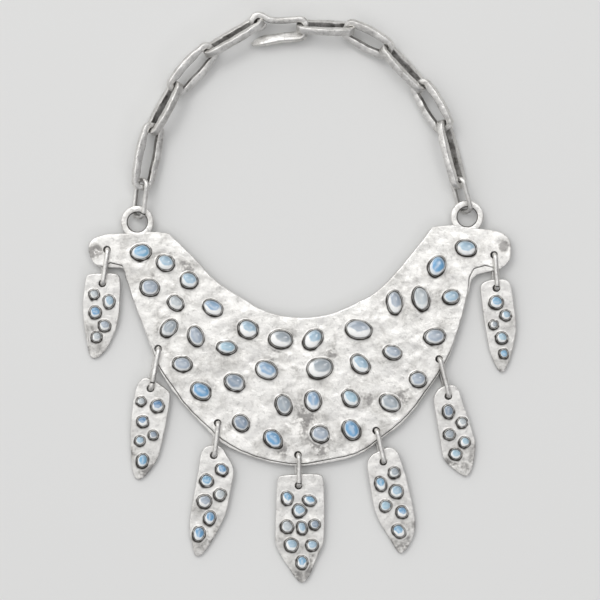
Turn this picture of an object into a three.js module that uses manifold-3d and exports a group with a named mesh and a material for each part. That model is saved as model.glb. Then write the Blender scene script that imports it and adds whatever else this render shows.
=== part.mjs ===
// Bib necklace in silver and moonstone, lying open on its back with the drops spread below it.
// Millimetres, +Z up, +Y towards the clasp, +X to the right as the front is seen.
import * as THREE from 'three';
import { mergeVertices } from 'three/addons/utils/BufferGeometryUtils.js';
import Module from 'manifold-3d';

const wasm = await Module();
wasm.setup();

// Bib: a front sheet on a slightly larger back sheet
const BIB_SPAN = 185.8; // across the tips of the arms
const BIB_DEPTH = 102.5; // from the lowest point up to the shoulders
const FRONT_SHEET = 0.9;
const BACK_SHEET = 0.8;
const BACK_MARGIN = 1.1; // how far the front sheet is set in from the back one

// Fits
const CLEARANCE = 0.3; // between a stone and its bezel
const RING_SLACK = 0.45; // between a jump ring and the sheet inside it
const JOINT_PLAY = 0.9; // between the middles of two end bars, less where they curve
const SOLDER = 0.15; // how far soldered pieces run into each other

// Oval bezels and stones of the bib
const BEZEL_LENGTH = 9.8; // over the walls
const BEZEL_WIDTH = 7.7;
const BEZEL_WALL = 0.7;
const BEZEL_RISE = 1.1;
const STONE_RISE = 2.3; // top of the dome above the sheet

// Drops and their smaller stones, which are soldered up in their bezels
const DROP_SHEET = 1.5;
const DROP_BEZEL = 5.6;
const DROP_BEZEL_RISE = 0.8;
const DROP_BEZEL_WALL = 0.6;
const DROP_STONE_RISE = 1.6;

// Jump rings of the drops, oval and standing on edge
const RING_WIRE = 2.0;
const RING_PLAY = 0.7; // between the wire and its hole, all round
const RING_CORNER = 1.5; // radius of the bends at its ends
const RING_LEAN = 12; // degrees from upright

// Round loops soldered on the arms
const LOOP_RADIUS = 7.3;
const LOOP_BAND = 3.0;
const LOOP_THICKNESS = 1.8;

// Chain of flat strip links between two wire rings
const CHAIN_RISE = 92.4; // its highest joint above the shoulders
const LINK_WIDTH = 9.8;
const LINK_STRIP = 2.0; // thickness of the strip, in the plane of the link
const LINK_DEPTH = 3.2; // width of the strip, across the plane of the link
const LINK_CORNER = 2.4; // radius of the bends at its ends
const LINK_BOW = 0.9; // how far the long sides bulge
const LINK_BITE = 0.4; // how far fused neighbours run into each other
const END_RING_WIDTH = 8.8;
const END_RING_WIRE = 2.1;
const END_RING_CORNER = 2.6;
const END_RING_TILT = 46; // degrees about the line between its joints

// Hook clasp, one strip bent into an eye and a long open hook
const CLASP_STRIP = 1.5;
const CLASP_DEPTH = 3.0;
const CLASP_TILT = 14;

// Facets
const OVAL_SIDES = 10;
const SMALL_OVAL_SIDES = 10;
const HOLE_SIDES = 10;
const WIRE_SIDES = 6;

// Edge of the bib as shares of its span and depth, clockwise from the left shoulder, in runs
// that are smooth between corners. The third number is the share of the back margin that shows.
const NECKLINE = [
  [-0.311, 0.999, 0], [-0.258, 0.906, 0], [-0.201, 0.798, 0], [-0.142, 0.725, 0],
  [-0.075, 0.66, 0], [0, 0.637, 0], [0.071, 0.652, 0], [0.135, 0.7, 0], [0.188, 0.757, 0],
  [0.249, 0.876, 0], [0.314, 1.026, 0],
];
const RIGHT_ARM = [
  [0.362, 1.034, 0], [0.425, 1.018, 0], [0.472, 1.005, 0], [0.494, 0.976, 0],
  [0.5, 0.93, 0], [0.495, 0.88, 0], [0.473, 0.842, 0],
];
const RIGHT_SHELF = [[0.443, 0.831, 2.5], [0.419, 0.821, 3], [0.406, 0.8, 2]];
const OUTER_EDGE = [
  [0.399, 0.742, 0.4], [0.376, 0.588, 0.3], [0.346, 0.446, 0.5], [0.284, 0.275, 1],
  [0.242, 0.185, 1], [0.199, 0.124, 1], [0.137, 0.047, 1], [0.06, 0.012, 1], [-0.011, 0, 0.8],
  [-0.08, 0.02, 1], [-0.142, 0.058, 1], [-0.189, 0.103, 1], [-0.223, 0.161, 1],
  [-0.268, 0.247, 1], [-0.308, 0.339, 1], [-0.338, 0.43, 0.9], [-0.36, 0.541, 0.3],
  [-0.384, 0.654, 0.2], [-0.401, 0.742, 0.2], [-0.419, 0.845, 0.3],
];
const LEFT_SHELF = [[-0.421, 0.849, 1.6], [-0.45, 0.852, 1.8]];
const LEFT_ARM = [
  [-0.468, 0.85, 0.5], [-0.488, 0.868, 0], [-0.5, 0.924, 0], [-0.494, 0.968, 0],
  [-0.462, 0.993, 0], [-0.422, 0.997, 0], [-0.341, 1.006, 0],
];
const BIB_EDGE = [NECKLINE, RIGHT_ARM, RIGHT_SHELF, OUTER_EDGE, LEFT_SHELF, LEFT_ARM];

// Stones of the bib: place as shares of the span and depth, size as shares of the bezel,
// turn in degrees, and the colour that shows
const BIB_STONES = [
  { across: -0.376, up: 0.918, long: 0.99, wide: 1, turn: 8, hue: 'blue' },
  { across: -0.318, up: 0.873, long: 0.9, wide: 1, turn: -30, hue: 'pale' },
  { across: -0.262, up: 0.798, long: 0.86, wide: 1, turn: -25, hue: 'grey' },
  { across: -0.355, up: 0.767, long: 0.92, wide: 1.05, turn: -15, hue: 'lavender' },
  { across: -0.294, up: 0.701, long: 0.86, wide: 0.88, turn: -45, hue: 'clear' },
  { across: -0.206, up: 0.68, long: 1.01, wide: 0.97, turn: -30, hue: 'lavender' },
  { across: -0.123, up: 0.588, long: 0.97, wide: 1.12, turn: -35, hue: 'pale' },
  { across: -0.309, up: 0.593, long: 0.97, wide: 0.91, turn: 50, hue: 'grey' },
  { across: -0.246, up: 0.558, long: 1.01, wide: 0.95, turn: -70, hue: 'lavender' },
  { across: -0.173, up: 0.509, long: 0.94, wide: 0.86, turn: -5, hue: 'pale' },
  { across: -0.278, up: 0.438, long: 0.92, wide: 0.95, turn: -10, hue: 'lavender' },
  { across: -0.154, up: 0.361, long: 1.01, wide: 1.05, turn: -30, hue: 'slate' },
  { across: -0.234, up: 0.323, long: 1.01, wide: 1.03, turn: -30, hue: 'blue' },
  { across: -0.139, up: 0.186, long: 0.86, wide: 0.97, turn: -50, hue: 'slate' },
  { across: -0.045, up: 0.545, long: 1.12, wide: 1.12, turn: -5, hue: 'clear' },
  { across: 0.031, up: 0.545, long: 1.08, wide: 1.03, turn: 52, hue: 'pale' },
  { across: -0.079, up: 0.413, long: 1.08, wide: 1.09, turn: -27, hue: 'lavender' },
  { across: 0.047, up: 0.422, long: 1.23, wide: 1.26, turn: 15, hue: 'grey' },
  { across: 0.139, up: 0.587, long: 1.24, wide: 1.17, turn: -8, hue: 'clear' },
  { across: 0.224, up: 0.703, long: 1.12, wide: 0.95, turn: -85, hue: 'lavender' },
  { across: 0.286, up: 0.72, long: 1.16, wide: 1, turn: -78, hue: 'pale' },
  { across: 0.324, up: 0.858, long: 1.03, wide: 1.03, turn: 65, hue: 'blue' },
  { across: 0.358, up: 0.727, long: 0.83, wide: 0.88, turn: 10, hue: 'lavender' },
  { across: 0.319, up: 0.557, long: 1.01, wide: 1, turn: 8, hue: 'grey' },
  { across: 0.219, up: 0.489, long: 0.9, wide: 0.88, turn: -15, hue: 'grey' },
  { across: 0.142, up: 0.439, long: 1.03, wide: 1, turn: -45, hue: 'pale' },
  { across: 0.279, up: 0.373, long: 0.83, wide: 0.97, turn: -15, hue: 'grey' },
  { across: 0.393, up: 0.936, long: 1.01, wide: 1, turn: -15, hue: 'blue' },
  { across: -0.038, up: 0.264, long: 1.01, wide: 0.97, turn: -75, hue: 'slate' },
  { across: 0.031, up: 0.282, long: 0.99, wide: 1, turn: -88, hue: 'lavender' },
  { across: 0.12, up: 0.292, long: 0.92, wide: 0.95, turn: -50, hue: 'pale' },
  { across: 0.213, up: 0.273, long: 1.03, wide: 1.03, turn: -30, hue: 'grey' },
  { across: -0.063, up: 0.117, long: 1.01, wide: 0.97, turn: -45, hue: 'blue' },
  { across: 0.048, up: 0.139, long: 0.92, wide: 1.03, turn: -25, hue: 'lavender' },
  { across: 0.122, up: 0.157, long: 1.01, wide: 1.03, turn: -65, hue: 'blue' },
];

// Drops: the ring's hole in the bib as shares of the span and depth, the ring's reach from hole
// to hole, and the drop's length from its hole to its tip. Turns are degrees from straight down.
// Edge points and stones are [share of length, share of width]; stones add length, width, turn.
const DROPS = [
  {
    name: 'far_left', across: -0.457, up: 0.929, reach: 15, ringTurn: -8, length: 33.7, width: 16.5, turn: -7,
    edge: [
      [-0.1, -0.39], [-0.15, 0.33], [-0.1, 0.45], [0.16, 0.52], [0.44, 0.54], [0.69, 0.44],
      [0.91, 0.24], [1, 0], [0.96, -0.11], [0.7, -0.28], [0.38, -0.43], [0.11, -0.46], [-0.04, -0.44],
    ],
    stones: [
      [0.15, -0.18, 0.86, 0.86, 0], [0.22, 0.24, 1.18, 0.98, 90], [0.38, -0.09, 1.05, 1.05, 0],
      [0.54, 0.2, 1, 1, 0], [0.7, 0.02, 0.94, 0.94, 0],
    ],
  },
  {
    name: 'left', across: -0.336, up: 0.504, reach: 17.8, ringTurn: -11, length: 41, width: 15.8, turn: -8,
    edge: [
      [-0.09, -0.25], [-0.11, -0.09], [-0.01, 0.48], [0.05, 0.58], [0.3, 0.57], [0.56, 0.53],
      [0.77, 0.44], [0.96, 0.16], [1, 0], [0.95, -0.14], [0.74, -0.27], [0.48, -0.38], [0.23, -0.42], [0, -0.38],
    ],
    stones: [
      [0.15, -0.2, 0.8, 0.8, 0], [0.17, 0.27, 1.1, 1.1, 0], [0.36, -0.08, 0.98, 0.98, 0],
      [0.49, 0.26, 0.83, 0.83, 0], [0.57, -0.08, 0.86, 0.86, 0], [0.78, 0.06, 1.2, 0.98, 90],
    ],
  },
  {
    name: 'near_left', across: -0.195, up: 0.185, reach: 14.3, ringTurn: -7, length: 45.8, width: 16, turn: -9,
    edge: [
      [-0.05, -0.31], [-0.1, 0.1], [-0.04, 0.31], [0.08, 0.58], [0.13, 0.63], [0.32, 0.61],
      [0.52, 0.59], [0.71, 0.44], [0.92, 0.19], [1, 0], [0.97, -0.11], [0.79, -0.28], [0.66, -0.37], [0.19, -0.35],
    ],
    stones: [
      [0.12, 0.28, 1.05, 0.94, -50], [0.25, -0.08, 1.09, 1.09, 0], [0.36, 0.34, 1.01, 1.01, 0],
      [0.45, -0.05, 1.16, 1.16, 0], [0.6, 0.16, 1.25, 0.98, 90], [0.77, -0.06, 1.25, 1.05, 90],
    ],
  },
  {
    name: 'centre', across: -0.005, up: 0.048, reach: 13.5, ringTurn: 1, length: 43.3, width: 22.1, turn: 2,
    edge: [
      [-0.11, -0.33], [-0.11, 0.42], [-0.05, 0.5], [0.15, 0.51], [0.45, 0.49], [0.61, 0.45],
      [0.75, 0.31], [0.94, 0.14], [1, 0], [0.95, -0.11], [0.78, -0.32], [0.62, -0.48], [0.48, -0.49],
      [0.13, -0.45], [-0.06, -0.41],
    ],
    stones: [
      [0.12, -0.23, 1.16, 0.98, 90], [0.15, 0.21, 1.12, 0.93, -25], [0.25, 0, 1.12, 1.12, 0],
      [0.41, -0.25, 1.09, 1.09, 0], [0.43, 0.04, 1.15, 0.84, 90], [0.4, 0.3, 0.91, 0.91, 0],
      [0.6, -0.18, 1.16, 1.16, 0], [0.61, 0.23, 1.01, 1.01, 0], [0.78, 0.02, 1.2, 1.01, 90],
    ],
  },
  {
    name: 'near_right', across: 0.18, up: 0.152, reach: 14, ringTurn: 13, length: 41.8, width: 16.9, turn: 11,
    edge: [
      [-0.14, 0.13], [-0.13, 0.3], [-0.07, 0.42], [0.05, 0.48], [0.26, 0.52], [0.5, 0.54], [0.68, 0.53],
      [0.82, 0.43], [0.94, 0.2], [1, 0], [0.96, -0.08], [0.8, -0.23], [0.59, -0.42], [0.42, -0.46],
      [0.05, -0.44], [-0.03, -0.4], [-0.09, -0.28],
    ],
    stones: [
      [0.13, 0.23, 0.98, 0.98, 0], [0.22, -0.17, 1.25, 0.94, 90], [0.33, 0.19, 1.16, 1.16, 0],
      [0.46, -0.16, 1.01, 1.01, 0], [0.56, 0.23, 1.01, 1.01, 0], [0.75, 0.06, 1.2, 1.01, -65],
    ],
  },
  {
    name: 'right', across: 0.329, up: 0.459, reach: 16.7, ringTurn: 14, length: 36.7, width: 15.3, turn: 12,
    edge: [
      [-0.13, 0.12], [-0.1, 0.28], [-0.06, 0.34], [0.1, 0.37], [0.35, 0.45], [0.57, 0.5], [0.68, 0.46],
      [0.87, 0.3], [0.98, 0.14], [1, 0], [0.96, -0.11], [0.84, -0.35], [0.73, -0.5], [0.52, -0.49],
      [0.03, -0.44], [-0.05, -0.37], [-0.12, -0.17],
    ],
    stones: [
      [0.18, -0.09, 1.2, 0.94, 90], [0.34, 0.23, 0.94, 0.94, 0], [0.45, -0.19, 0.94, 0.94, 0],
      [0.58, 0.2, 0.94, 0.94, 0], [0.7, -0.13, 1.05, 0.98, 0],
    ],
  },
  {
    name: 'far_right', across: 0.459, up: 0.906, reach: 14.6, ringTurn: 4, length: 37.6, width: 14.9, turn: 4,
    edge: [
      [-0.1, -0.19], [-0.1, 0.26], [-0.05, 0.43], [0.02, 0.46], [0.26, 0.5], [0.45, 0.53], [0.64, 0.44],
      [0.86, 0.25], [0.98, 0.1], [1, 0], [0.96, -0.12], [0.75, -0.3], [0.45, -0.4], [0.01, -0.47], [-0.06, -0.43],
    ],
    stones: [
      [0.16, -0.03, 1.12, 1.12, 0], [0.32, 0.23, 0.91, 0.91, 0], [0.42, -0.14, 0.8, 0.8, 0],
      [0.58, 0.07, 1, 1, 0], [0.77, 0.1, 0.8, 0.8, 0],
    ],
  },
];

// Loops on the arms: place across as a share of the span, height above the shoulders in radii
const LOOPS = {
  left: { across: -0.385, rise: 0.66 },
  right: { across: 0.396, rise: 0.98 },
};

// Joints of the chain from the left end ring to the right one: across as a share of the span,
// rise as a share of the chain's rise
const CHAIN_ROUTE = [
  [-0.373, 0.236], [-0.347, 0.495], [-0.294, 0.692], [-0.214, 0.865], [-0.102, 0.997], [0.008, 0.979],
  [0.116, 0.97], [0.205, 0.871], [0.285, 0.698], [0.34, 0.51], [0.374, 0.241],
];

// Tilts of the links in degrees about their long axes, left chain and then right chain
const LEFT_TILTS = [26, -58, 24, -62];
const RIGHT_TILTS = [-62, 26, -58, 28, -58];

// Middle line of the clasp: shares of the distance between its joints, and of that distance aside
const CLASP_LINE = [
  [0.19, 0], [0.1, -0.115], [-0.04, -0.1], [-0.112, 0.035], [-0.04, 0.16], [0.09, 0.175],
  [0.21, 0.12], [0.35, 0.09], [0.6, 0.11], [0.9, 0.16], [1.01, 0.12], [1.05, 0.02], [1.03, -0.12],
  [0.93, -0.2], [0.52, -0.28], [0.14, -0.38], [-0.07, -0.47],
];

const SILVER = { color: 0xd9d6d1, roughness: 0.34, metalness: 1 };
const MOONSTONE = {
  blue: 0x6fa8d6,
  pale: 0xc9dbe6,
  grey: 0xa9b3b8,
  lavender: 0xaab0c8,
  slate: 0x8c97aa,
  clear: 0xe6e8ea,
};

const bibBack = RING_WIRE + RING_SLACK;
const bibFront = bibBack + BACK_SHEET + FRONT_SHEET;
const ringLevel = (bibBack + bibFront) / 2;
const holeRadius = RING_WIRE / 2 + RING_PLAY;
const degrees = THREE.MathUtils.degToRad;

function metal() {
  return new THREE.MeshStandardMaterial({ ...SILVER, flatShading: true });
}

function moonstone(hue) {
  const look = { color: MOONSTONE[hue], roughness: 0.15, metalness: 0, flatShading: true };
  return new THREE.MeshStandardMaterial(look);
}

function piece(name, geometry, material) {
  const mesh = new THREE.Mesh(geometry, material);
  mesh.name = name;
  return mesh;
}

// One closed body with shared corners and no collapsed triangles
function welded(geometry) {
  const bare = geometry.clone();
  bare.deleteAttribute('normal');
  bare.deleteAttribute('uv');
  const merged = mergeVertices(bare, 1e-4);
  const kept = [];
  const index = merged.index.array;
  for (let i = 0; i < index.length; i += 3) {
    const [a, b, c] = [index[i], index[i + 1], index[i + 2]];
    if (a !== b && b !== c && c !== a) kept.push(a, b, c);
  }
  merged.setIndex(kept);
  return merged;
}

function solid(geometry) {
  const body = welded(geometry);
  const mesh = new wasm.Mesh({
    numProp: 3,
    vertProperties: Float32Array.from(body.attributes.position.array),
    triVerts: Uint32Array.from(body.index.array),
  });
  return new wasm.Manifold(mesh);
}

function fused(geometries) {
  let whole = solid(geometries[0]);
  for (const next of geometries.slice(1)) whole = whole.add(solid(next));
  const mesh = whole.getMesh();
  const geometry = new THREE.BufferGeometry();
  geometry.setAttribute('position', new THREE.BufferAttribute(mesh.vertProperties, 3));
  geometry.setIndex(new THREE.BufferAttribute(mesh.triVerts, 1));
  return geometry;
}

function ovalPoints(x, y, halfLength, halfWidth, turn, sides) {
  const points = [];
  const [c, s] = [Math.cos(turn), Math.sin(turn)];
  for (let i = 0; i < sides; i += 1) {
    const angle = (2 * Math.PI * i) / sides;
    const along = halfLength * Math.cos(angle);
    const aside = halfWidth * Math.sin(angle);
    points.push(new THREE.Vector2(x + along * c - aside * s, y + along * s + aside * c));
  }
  return points;
}

// A plate of the given outline and round holes, between two heights
function plate(outline, holes, bottom, top) {
  const shape = new THREE.Shape(outline);
  for (const hole of holes) shape.holes.push(new THREE.Path(hole));
  const geometry = new THREE.ExtrudeGeometry(shape, { depth: top - bottom, bevelEnabled: false });
  return geometry.translate(0, 0, bottom);
}

// A wire or strip bent along a closed middle line, whose points run anticlockwise
function closedStrip(line, thickness, depth) {
  const count = line.length;
  const geometry = new THREE.TorusGeometry(1, 0.5, WIRE_SIDES, count);
  const position = geometry.attributes.position;
  const flat = Math.PI / WIRE_SIDES;
  for (let j = 0; j <= WIRE_SIDES; j += 1) {
    const around = flat + (2 * Math.PI * (j % WIRE_SIDES)) / WIRE_SIDES;
    const outwards = ((thickness / 2) * Math.cos(around)) / Math.cos(flat);
    const upwards = (depth / 2) * Math.sin(around);
    for (let i = 0; i <= count; i += 1) {
      const here = line[i % count];
      const before = line[(i + count - 1) % count];
      const after = line[(i + 1) % count];
      const normal = new THREE.Vector2(after.y - before.y, before.x - after.x).normalize();
      const x = here.x + outwards * normal.x;
      const y = here.y + outwards * normal.y;
      position.setXYZ(j * (count + 1) + i, x, y, upwards);
    }
  }
  return geometry;
}

// The middle line of a ring or link: bends of one radius, joined by sides that may bow out
function roundedLine(length, width, radius, bow) {
  const line = [];
  const steps = 2;
  for (let corner = 0; corner < 4; corner += 1) {
    const ahead = corner === 0 || corner === 3 ? 1 : -1;
    const left = corner < 2 ? 1 : -1;
    for (let i = 0; i <= steps; i += 1) {
      const angle = ((corner + i / steps) * Math.PI) / 2;
      const x = ahead * (length / 2 - radius) + radius * Math.cos(angle);
      const y = left * (width / 2 - radius) + radius * Math.sin(angle);
      line.push(new THREE.Vector2(x, y));
    }
    if (bow > 0 && ahead === left) line.push(new THREE.Vector2(0, left * (width / 2 + bow)));
  }
  return line;
}

// A frame whose x axis runs between two points and whose y axis is tilted up from level
function frameBetween(start, end, tilt) {
  const along = end.clone().sub(start).normalize();
  const level = new THREE.Vector3(0, 0, 1).cross(along).normalize();
  const raised = along.clone().cross(level);
  const side = level.clone().multiplyScalar(Math.cos(degrees(tilt)));
  side.addScaledVector(raised, Math.sin(degrees(tilt)));
  const frame = new THREE.Matrix4().makeBasis(along, side, along.clone().cross(side));
  return frame.setPosition(start.clone().add(end).multiplyScalar(0.5));
}

// Bib

function onBib(across, up) {
  return new THREE.Vector2(across * BIB_SPAN, up * BIB_DEPTH);
}

function bibOutline(margin) {
  const outline = [];
  for (const run of BIB_EDGE) {
    const points = run.map(([across, up]) => onBib(across, up));
    const moved = points.map((point, i) => {
      const before = points[Math.max(i - 1, 0)];
      const after = points[Math.min(i + 1, points.length - 1)];
      const inwards = new THREE.Vector2(after.y - before.y, before.x - after.x).normalize();
      return point.clone().addScaledVector(inwards, margin * run[i][2]);
    });
    const smooth = points.length > 3 ? 2 : 1;
    outline.push(...new THREE.SplineCurve(moved).getPoints(smooth * (points.length - 1)));
  }
  return outline;
}

function bezel(stone) {
  const at = onBib(stone.across, stone.up);
  const half = [(BEZEL_LENGTH / 2) * stone.long, (BEZEL_WIDTH / 2) * stone.wide];
  const turn = degrees(stone.turn);
  const outer = ovalPoints(at.x, at.y, half[0], half[1], turn, OVAL_SIDES);
  const inner = ovalPoints(at.x, at.y, half[0] - BEZEL_WALL, half[1] - BEZEL_WALL, turn, OVAL_SIDES);
  return plate(outer, [inner], bibFront - SOLDER, bibFront + BEZEL_RISE);
}

function loopCentre(loop) {
  return new THREE.Vector3(loop.across * BIB_SPAN, BIB_DEPTH + loop.rise * LOOP_RADIUS, ringLevel);
}

function armLoop(loop) {
  const middle = LOOP_RADIUS - LOOP_BAND / 2;
  const line = ovalPoints(0, 0, middle, middle, 0, 16);
  const at = loopCentre(loop);
  return closedStrip(line, LOOP_BAND, LOOP_THICKNESS).translate(at.x, at.y, at.z);
}

function bib() {
  const holes = DROPS.map((drop) => {
    const at = onBib(drop.across, drop.up);
    return ovalPoints(at.x, at.y, holeRadius, holeRadius, 0, HOLE_SIDES);
  });
  const seam = bibBack + BACK_SHEET;
  const parts = [
    plate(bibOutline(BACK_MARGIN), holes, seam, bibFront),
    plate(bibOutline(0), holes, bibBack, seam + SOLDER),
    ...Object.values(LOOPS).map(armLoop),
    ...BIB_STONES.map(bezel),
  ];
  return piece('bib', fused(parts), metal());
}

function bibStone(stone, number) {
  const inset = BEZEL_WALL + CLEARANCE;
  const halfLength = (BEZEL_LENGTH / 2) * stone.long - inset;
  const halfWidth = (BEZEL_WIDTH / 2) * stone.wide - inset;
  const girdle = BEZEL_RISE - 2 * CLEARANCE;
  const dome = STONE_RISE - BEZEL_RISE;
  const profile = [
    [0, CLEARANCE], [1, CLEARANCE], [1, CLEARANCE + girdle],
    [0.8, BEZEL_RISE + dome * 0.45], [0.45, BEZEL_RISE + dome * 0.85], [0, STONE_RISE],
  ].map(([radius, height]) => new THREE.Vector2(radius, height));
  const geometry = new THREE.LatheGeometry(profile, OVAL_SIDES).rotateX(Math.PI / 2);
  geometry.scale(halfLength, halfWidth, 1);
  const name = `stone_${String(number).padStart(2, '0')}`;
  const mesh = piece(name, welded(geometry), moonstone(stone.hue));
  const at = onBib(stone.across, stone.up);
  mesh.position.set(at.x, at.y, bibFront);
  mesh.rotation.z = degrees(stone.turn);
  return mesh;
}

// Drops and their rings

function downwards(turn) {
  return new THREE.Vector2(Math.sin(degrees(turn)), -Math.cos(degrees(turn)));
}

function ringHoles(drop) {
  const start = onBib(drop.across, drop.up);
  const end = start.clone().addScaledVector(downwards(drop.ringTurn), drop.reach);
  return { start, end };
}

function dropRing(drop) {
  const { start, end } = ringHoles(drop);
  const height = bibFront - bibBack + 2 * RING_SLACK + RING_WIRE;
  const line = roundedLine(drop.reach, height, RING_CORNER, 0);
  const mesh = piece(`ring_${drop.name}`, welded(closedStrip(line, RING_WIRE, RING_WIRE)), metal());
  const from = new THREE.Vector3(start.x, start.y, ringLevel);
  const to = new THREE.Vector3(end.x, end.y, ringLevel);
  mesh.applyMatrix4(frameBetween(from, to, 90 - RING_LEAN));
  return mesh;
}

function dropStone(drop, [along, aside, long, wide, turn]) {
  const halfLength = (DROP_BEZEL / 2) * long;
  const halfWidth = (DROP_BEZEL / 2) * wide;
  const rim = 1 - DROP_BEZEL_WALL / halfWidth;
  const profile = [
    [0, -SOLDER], [1, -SOLDER], [1, DROP_BEZEL_RISE], [rim, DROP_BEZEL_RISE],
    [rim * 0.55, DROP_STONE_RISE - 0.15 * DROP_BEZEL_RISE], [0, DROP_STONE_RISE],
  ].map(([radius, height]) => new THREE.Vector2(radius, height));
  const geometry = new THREE.LatheGeometry(profile, SMALL_OVAL_SIDES).rotateX(Math.PI / 2);
  geometry.scale(halfLength, halfWidth, 1);
  geometry.rotateZ(degrees(turn + 90));
  return geometry.translate(along * drop.length, aside * drop.width, DROP_SHEET);
}

// The drop lies with its hole clear of the ring's lower strand and its tip on the surface
function hangingDrop(drop) {
  const outline = drop.edge.map(([along, aside]) => new THREE.Vector2(along * drop.length, aside * drop.width));
  const hole = ovalPoints(0, 0, holeRadius, holeRadius, 0, HOLE_SIDES);
  const parts = [plate(outline, [hole], 0, DROP_SHEET), ...drop.stones.map((row) => dropStone(drop, row))];
  const mesh = piece(`drop_${drop.name}`, fused(parts), metal());
  const pitch = Math.asin(bibBack / drop.length);
  const flat = downwards(drop.turn);
  const along = new THREE.Vector3(flat.x * Math.cos(pitch), flat.y * Math.cos(pitch), -Math.sin(pitch));
  const aside = new THREE.Vector3(-flat.y, flat.x, 0);
  const frame = new THREE.Matrix4().makeBasis(along, aside, along.clone().cross(aside));
  const { end } = ringHoles(drop);
  mesh.applyMatrix4(frame.setPosition(end.x, end.y, bibBack));
  return mesh;
}

// Chain

// How high the middle of a tilted link is when its lower side rests on the surface
function restHeight(tilt) {
  const angle = Math.abs(degrees(tilt));
  const face = (LINK_STRIP / 2) * Math.sin(angle) + (LINK_DEPTH / 4) * Math.cos(angle);
  const edge = (LINK_DEPTH / 2) * Math.cos(angle);
  return (LINK_WIDTH / 2 - LINK_STRIP / 2 + LINK_BOW) * Math.sin(angle) + Math.max(face, edge);
}

function chainJoints() {
  const level = Math.max(...[...LEFT_TILTS, ...RIGHT_TILTS].map(restHeight));
  const middle = CHAIN_ROUTE.map(([across, rise]) => {
    return new THREE.Vector3(across * BIB_SPAN, BIB_DEPTH + rise * CHAIN_RISE, level);
  });
  const onLoop = (loop, next) => {
    const centre = loopCentre(loop);
    const pull = new THREE.Vector3(next.x - centre.x, next.y - centre.y, 0);
    return centre.add(pull.setLength(LOOP_RADIUS - LOOP_BAND));
  };
  return [onLoop(LOOPS.left, middle[0]), ...middle, onLoop(LOOPS.right, middle.at(-1))];
}

// A closed link whose end bars reach past its two joints, by a gap or a bite at each
function link(start, end, gaps, tilt, { width, strip, depth, corner, bow }) {
  const along = end.clone().sub(start).normalize();
  const from = start.clone().addScaledVector(along, -gaps[0] / 2);
  const to = end.clone().addScaledVector(along, gaps[1] / 2);
  const line = roundedLine(from.distanceTo(to) + strip, width - strip, corner, bow);
  return closedStrip(line, strip, depth).applyMatrix4(frameBetween(from, to, tilt));
}

// An end ring runs from the round loop of an arm, where the whole play is its own, to the chain
function endRing(name, onLoop, onChain) {
  const gaps = [2 * JOINT_PLAY, JOINT_PLAY];
  const wire = { strip: END_RING_WIRE, depth: END_RING_WIRE };
  const form = { ...wire, width: END_RING_WIDTH, corner: END_RING_CORNER, bow: 0 };
  return piece(name, welded(link(onLoop, onChain, gaps, -END_RING_TILT, form)), metal());
}

function chain(name, joints, tilts) {
  const last = tilts.length - 1;
  const strip = { strip: LINK_STRIP, depth: LINK_DEPTH };
  const form = { ...strip, width: LINK_WIDTH, corner: LINK_CORNER, bow: LINK_BOW };
  const links = tilts.map((tilt, i) => {
    const gaps = [i === 0 ? JOINT_PLAY : -LINK_BITE, i === last ? JOINT_PLAY : -LINK_BITE];
    return link(joints[i], joints[i + 1], gaps, tilt, form);
  });
  return piece(name, fused(links), metal());
}

function claspHook(start, end) {
  const span = start.distanceTo(end);
  const points = CLASP_LINE.map(([along, aside]) => {
    return new THREE.Vector3((along - 0.5) * span, aside * span, 0);
  });
  const line = new THREE.CatmullRomCurve3(points);
  const section = new THREE.Shape(ovalPoints(0, 0, CLASP_DEPTH / 2, CLASP_STRIP / 2, 0, WIRE_SIDES));
  const geometry = new THREE.ExtrudeGeometry(section, { extrudePath: line, steps: 34, bevelEnabled: false });
  const mesh = piece('clasp_hook', welded(geometry), metal());
  mesh.applyMatrix4(frameBetween(start, end, CLASP_TILT));
  return mesh;
}

// Assembly

const necklace = new THREE.Group();
necklace.add(bib());
BIB_STONES.forEach((stone, i) => necklace.add(bibStone(stone, i + 1)));
for (const drop of DROPS) {
  necklace.add(dropRing(drop));
  necklace.add(hangingDrop(drop));
}

const joints = chainJoints();
const leftEnd = 1 + LEFT_TILTS.length;
necklace.add(endRing('end_ring_left', joints[0], joints[1]));
necklace.add(chain('chain_left', joints.slice(1, leftEnd + 1), LEFT_TILTS));
necklace.add(claspHook(joints[leftEnd], joints[leftEnd + 1]));
necklace.add(chain('chain_right', joints.slice(leftEnd + 1, -1), RIGHT_TILTS));
necklace.add(endRing('end_ring_right', joints.at(-1), joints.at(-2)));

// The origin is under the middle of the whole necklace
necklace.updateMatrixWorld(true);
const extent = new THREE.Box3().setFromObject(necklace, true);
const centre = extent.getCenter(new THREE.Vector3());
necklace.position.set(-centre.x, -centre.y, -extent.min.z);

export default necklace;
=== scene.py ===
"""A bib necklace of hammered silver and moonstone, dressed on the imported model."""

import math

import bmesh
import bpy
from mathutils import Matrix, Vector, noise


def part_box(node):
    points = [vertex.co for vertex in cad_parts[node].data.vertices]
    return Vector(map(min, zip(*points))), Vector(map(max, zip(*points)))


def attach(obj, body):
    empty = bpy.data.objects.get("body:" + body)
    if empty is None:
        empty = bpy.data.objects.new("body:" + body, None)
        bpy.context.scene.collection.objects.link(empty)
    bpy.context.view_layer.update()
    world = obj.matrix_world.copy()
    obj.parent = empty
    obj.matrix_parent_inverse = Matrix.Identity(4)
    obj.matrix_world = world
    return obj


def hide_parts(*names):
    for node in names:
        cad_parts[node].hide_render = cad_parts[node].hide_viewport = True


# Millimetres, as in the part's own source; MM turns them into the frame's metres
MM = 0.001
PIXEL = 0.44
BIB_SPAN = 185.8
BIB_DEPTH = 102.5
FRONT_SHEET = 0.9
BACK_SHEET = 0.8
BACK_MARGIN = 1.1
CLEARANCE = 0.3
RING_SLACK = 0.45
JOINT_PLAY = 0.9
BEZEL_LENGTH = 9.8
BEZEL_WIDTH = 7.7
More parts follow.
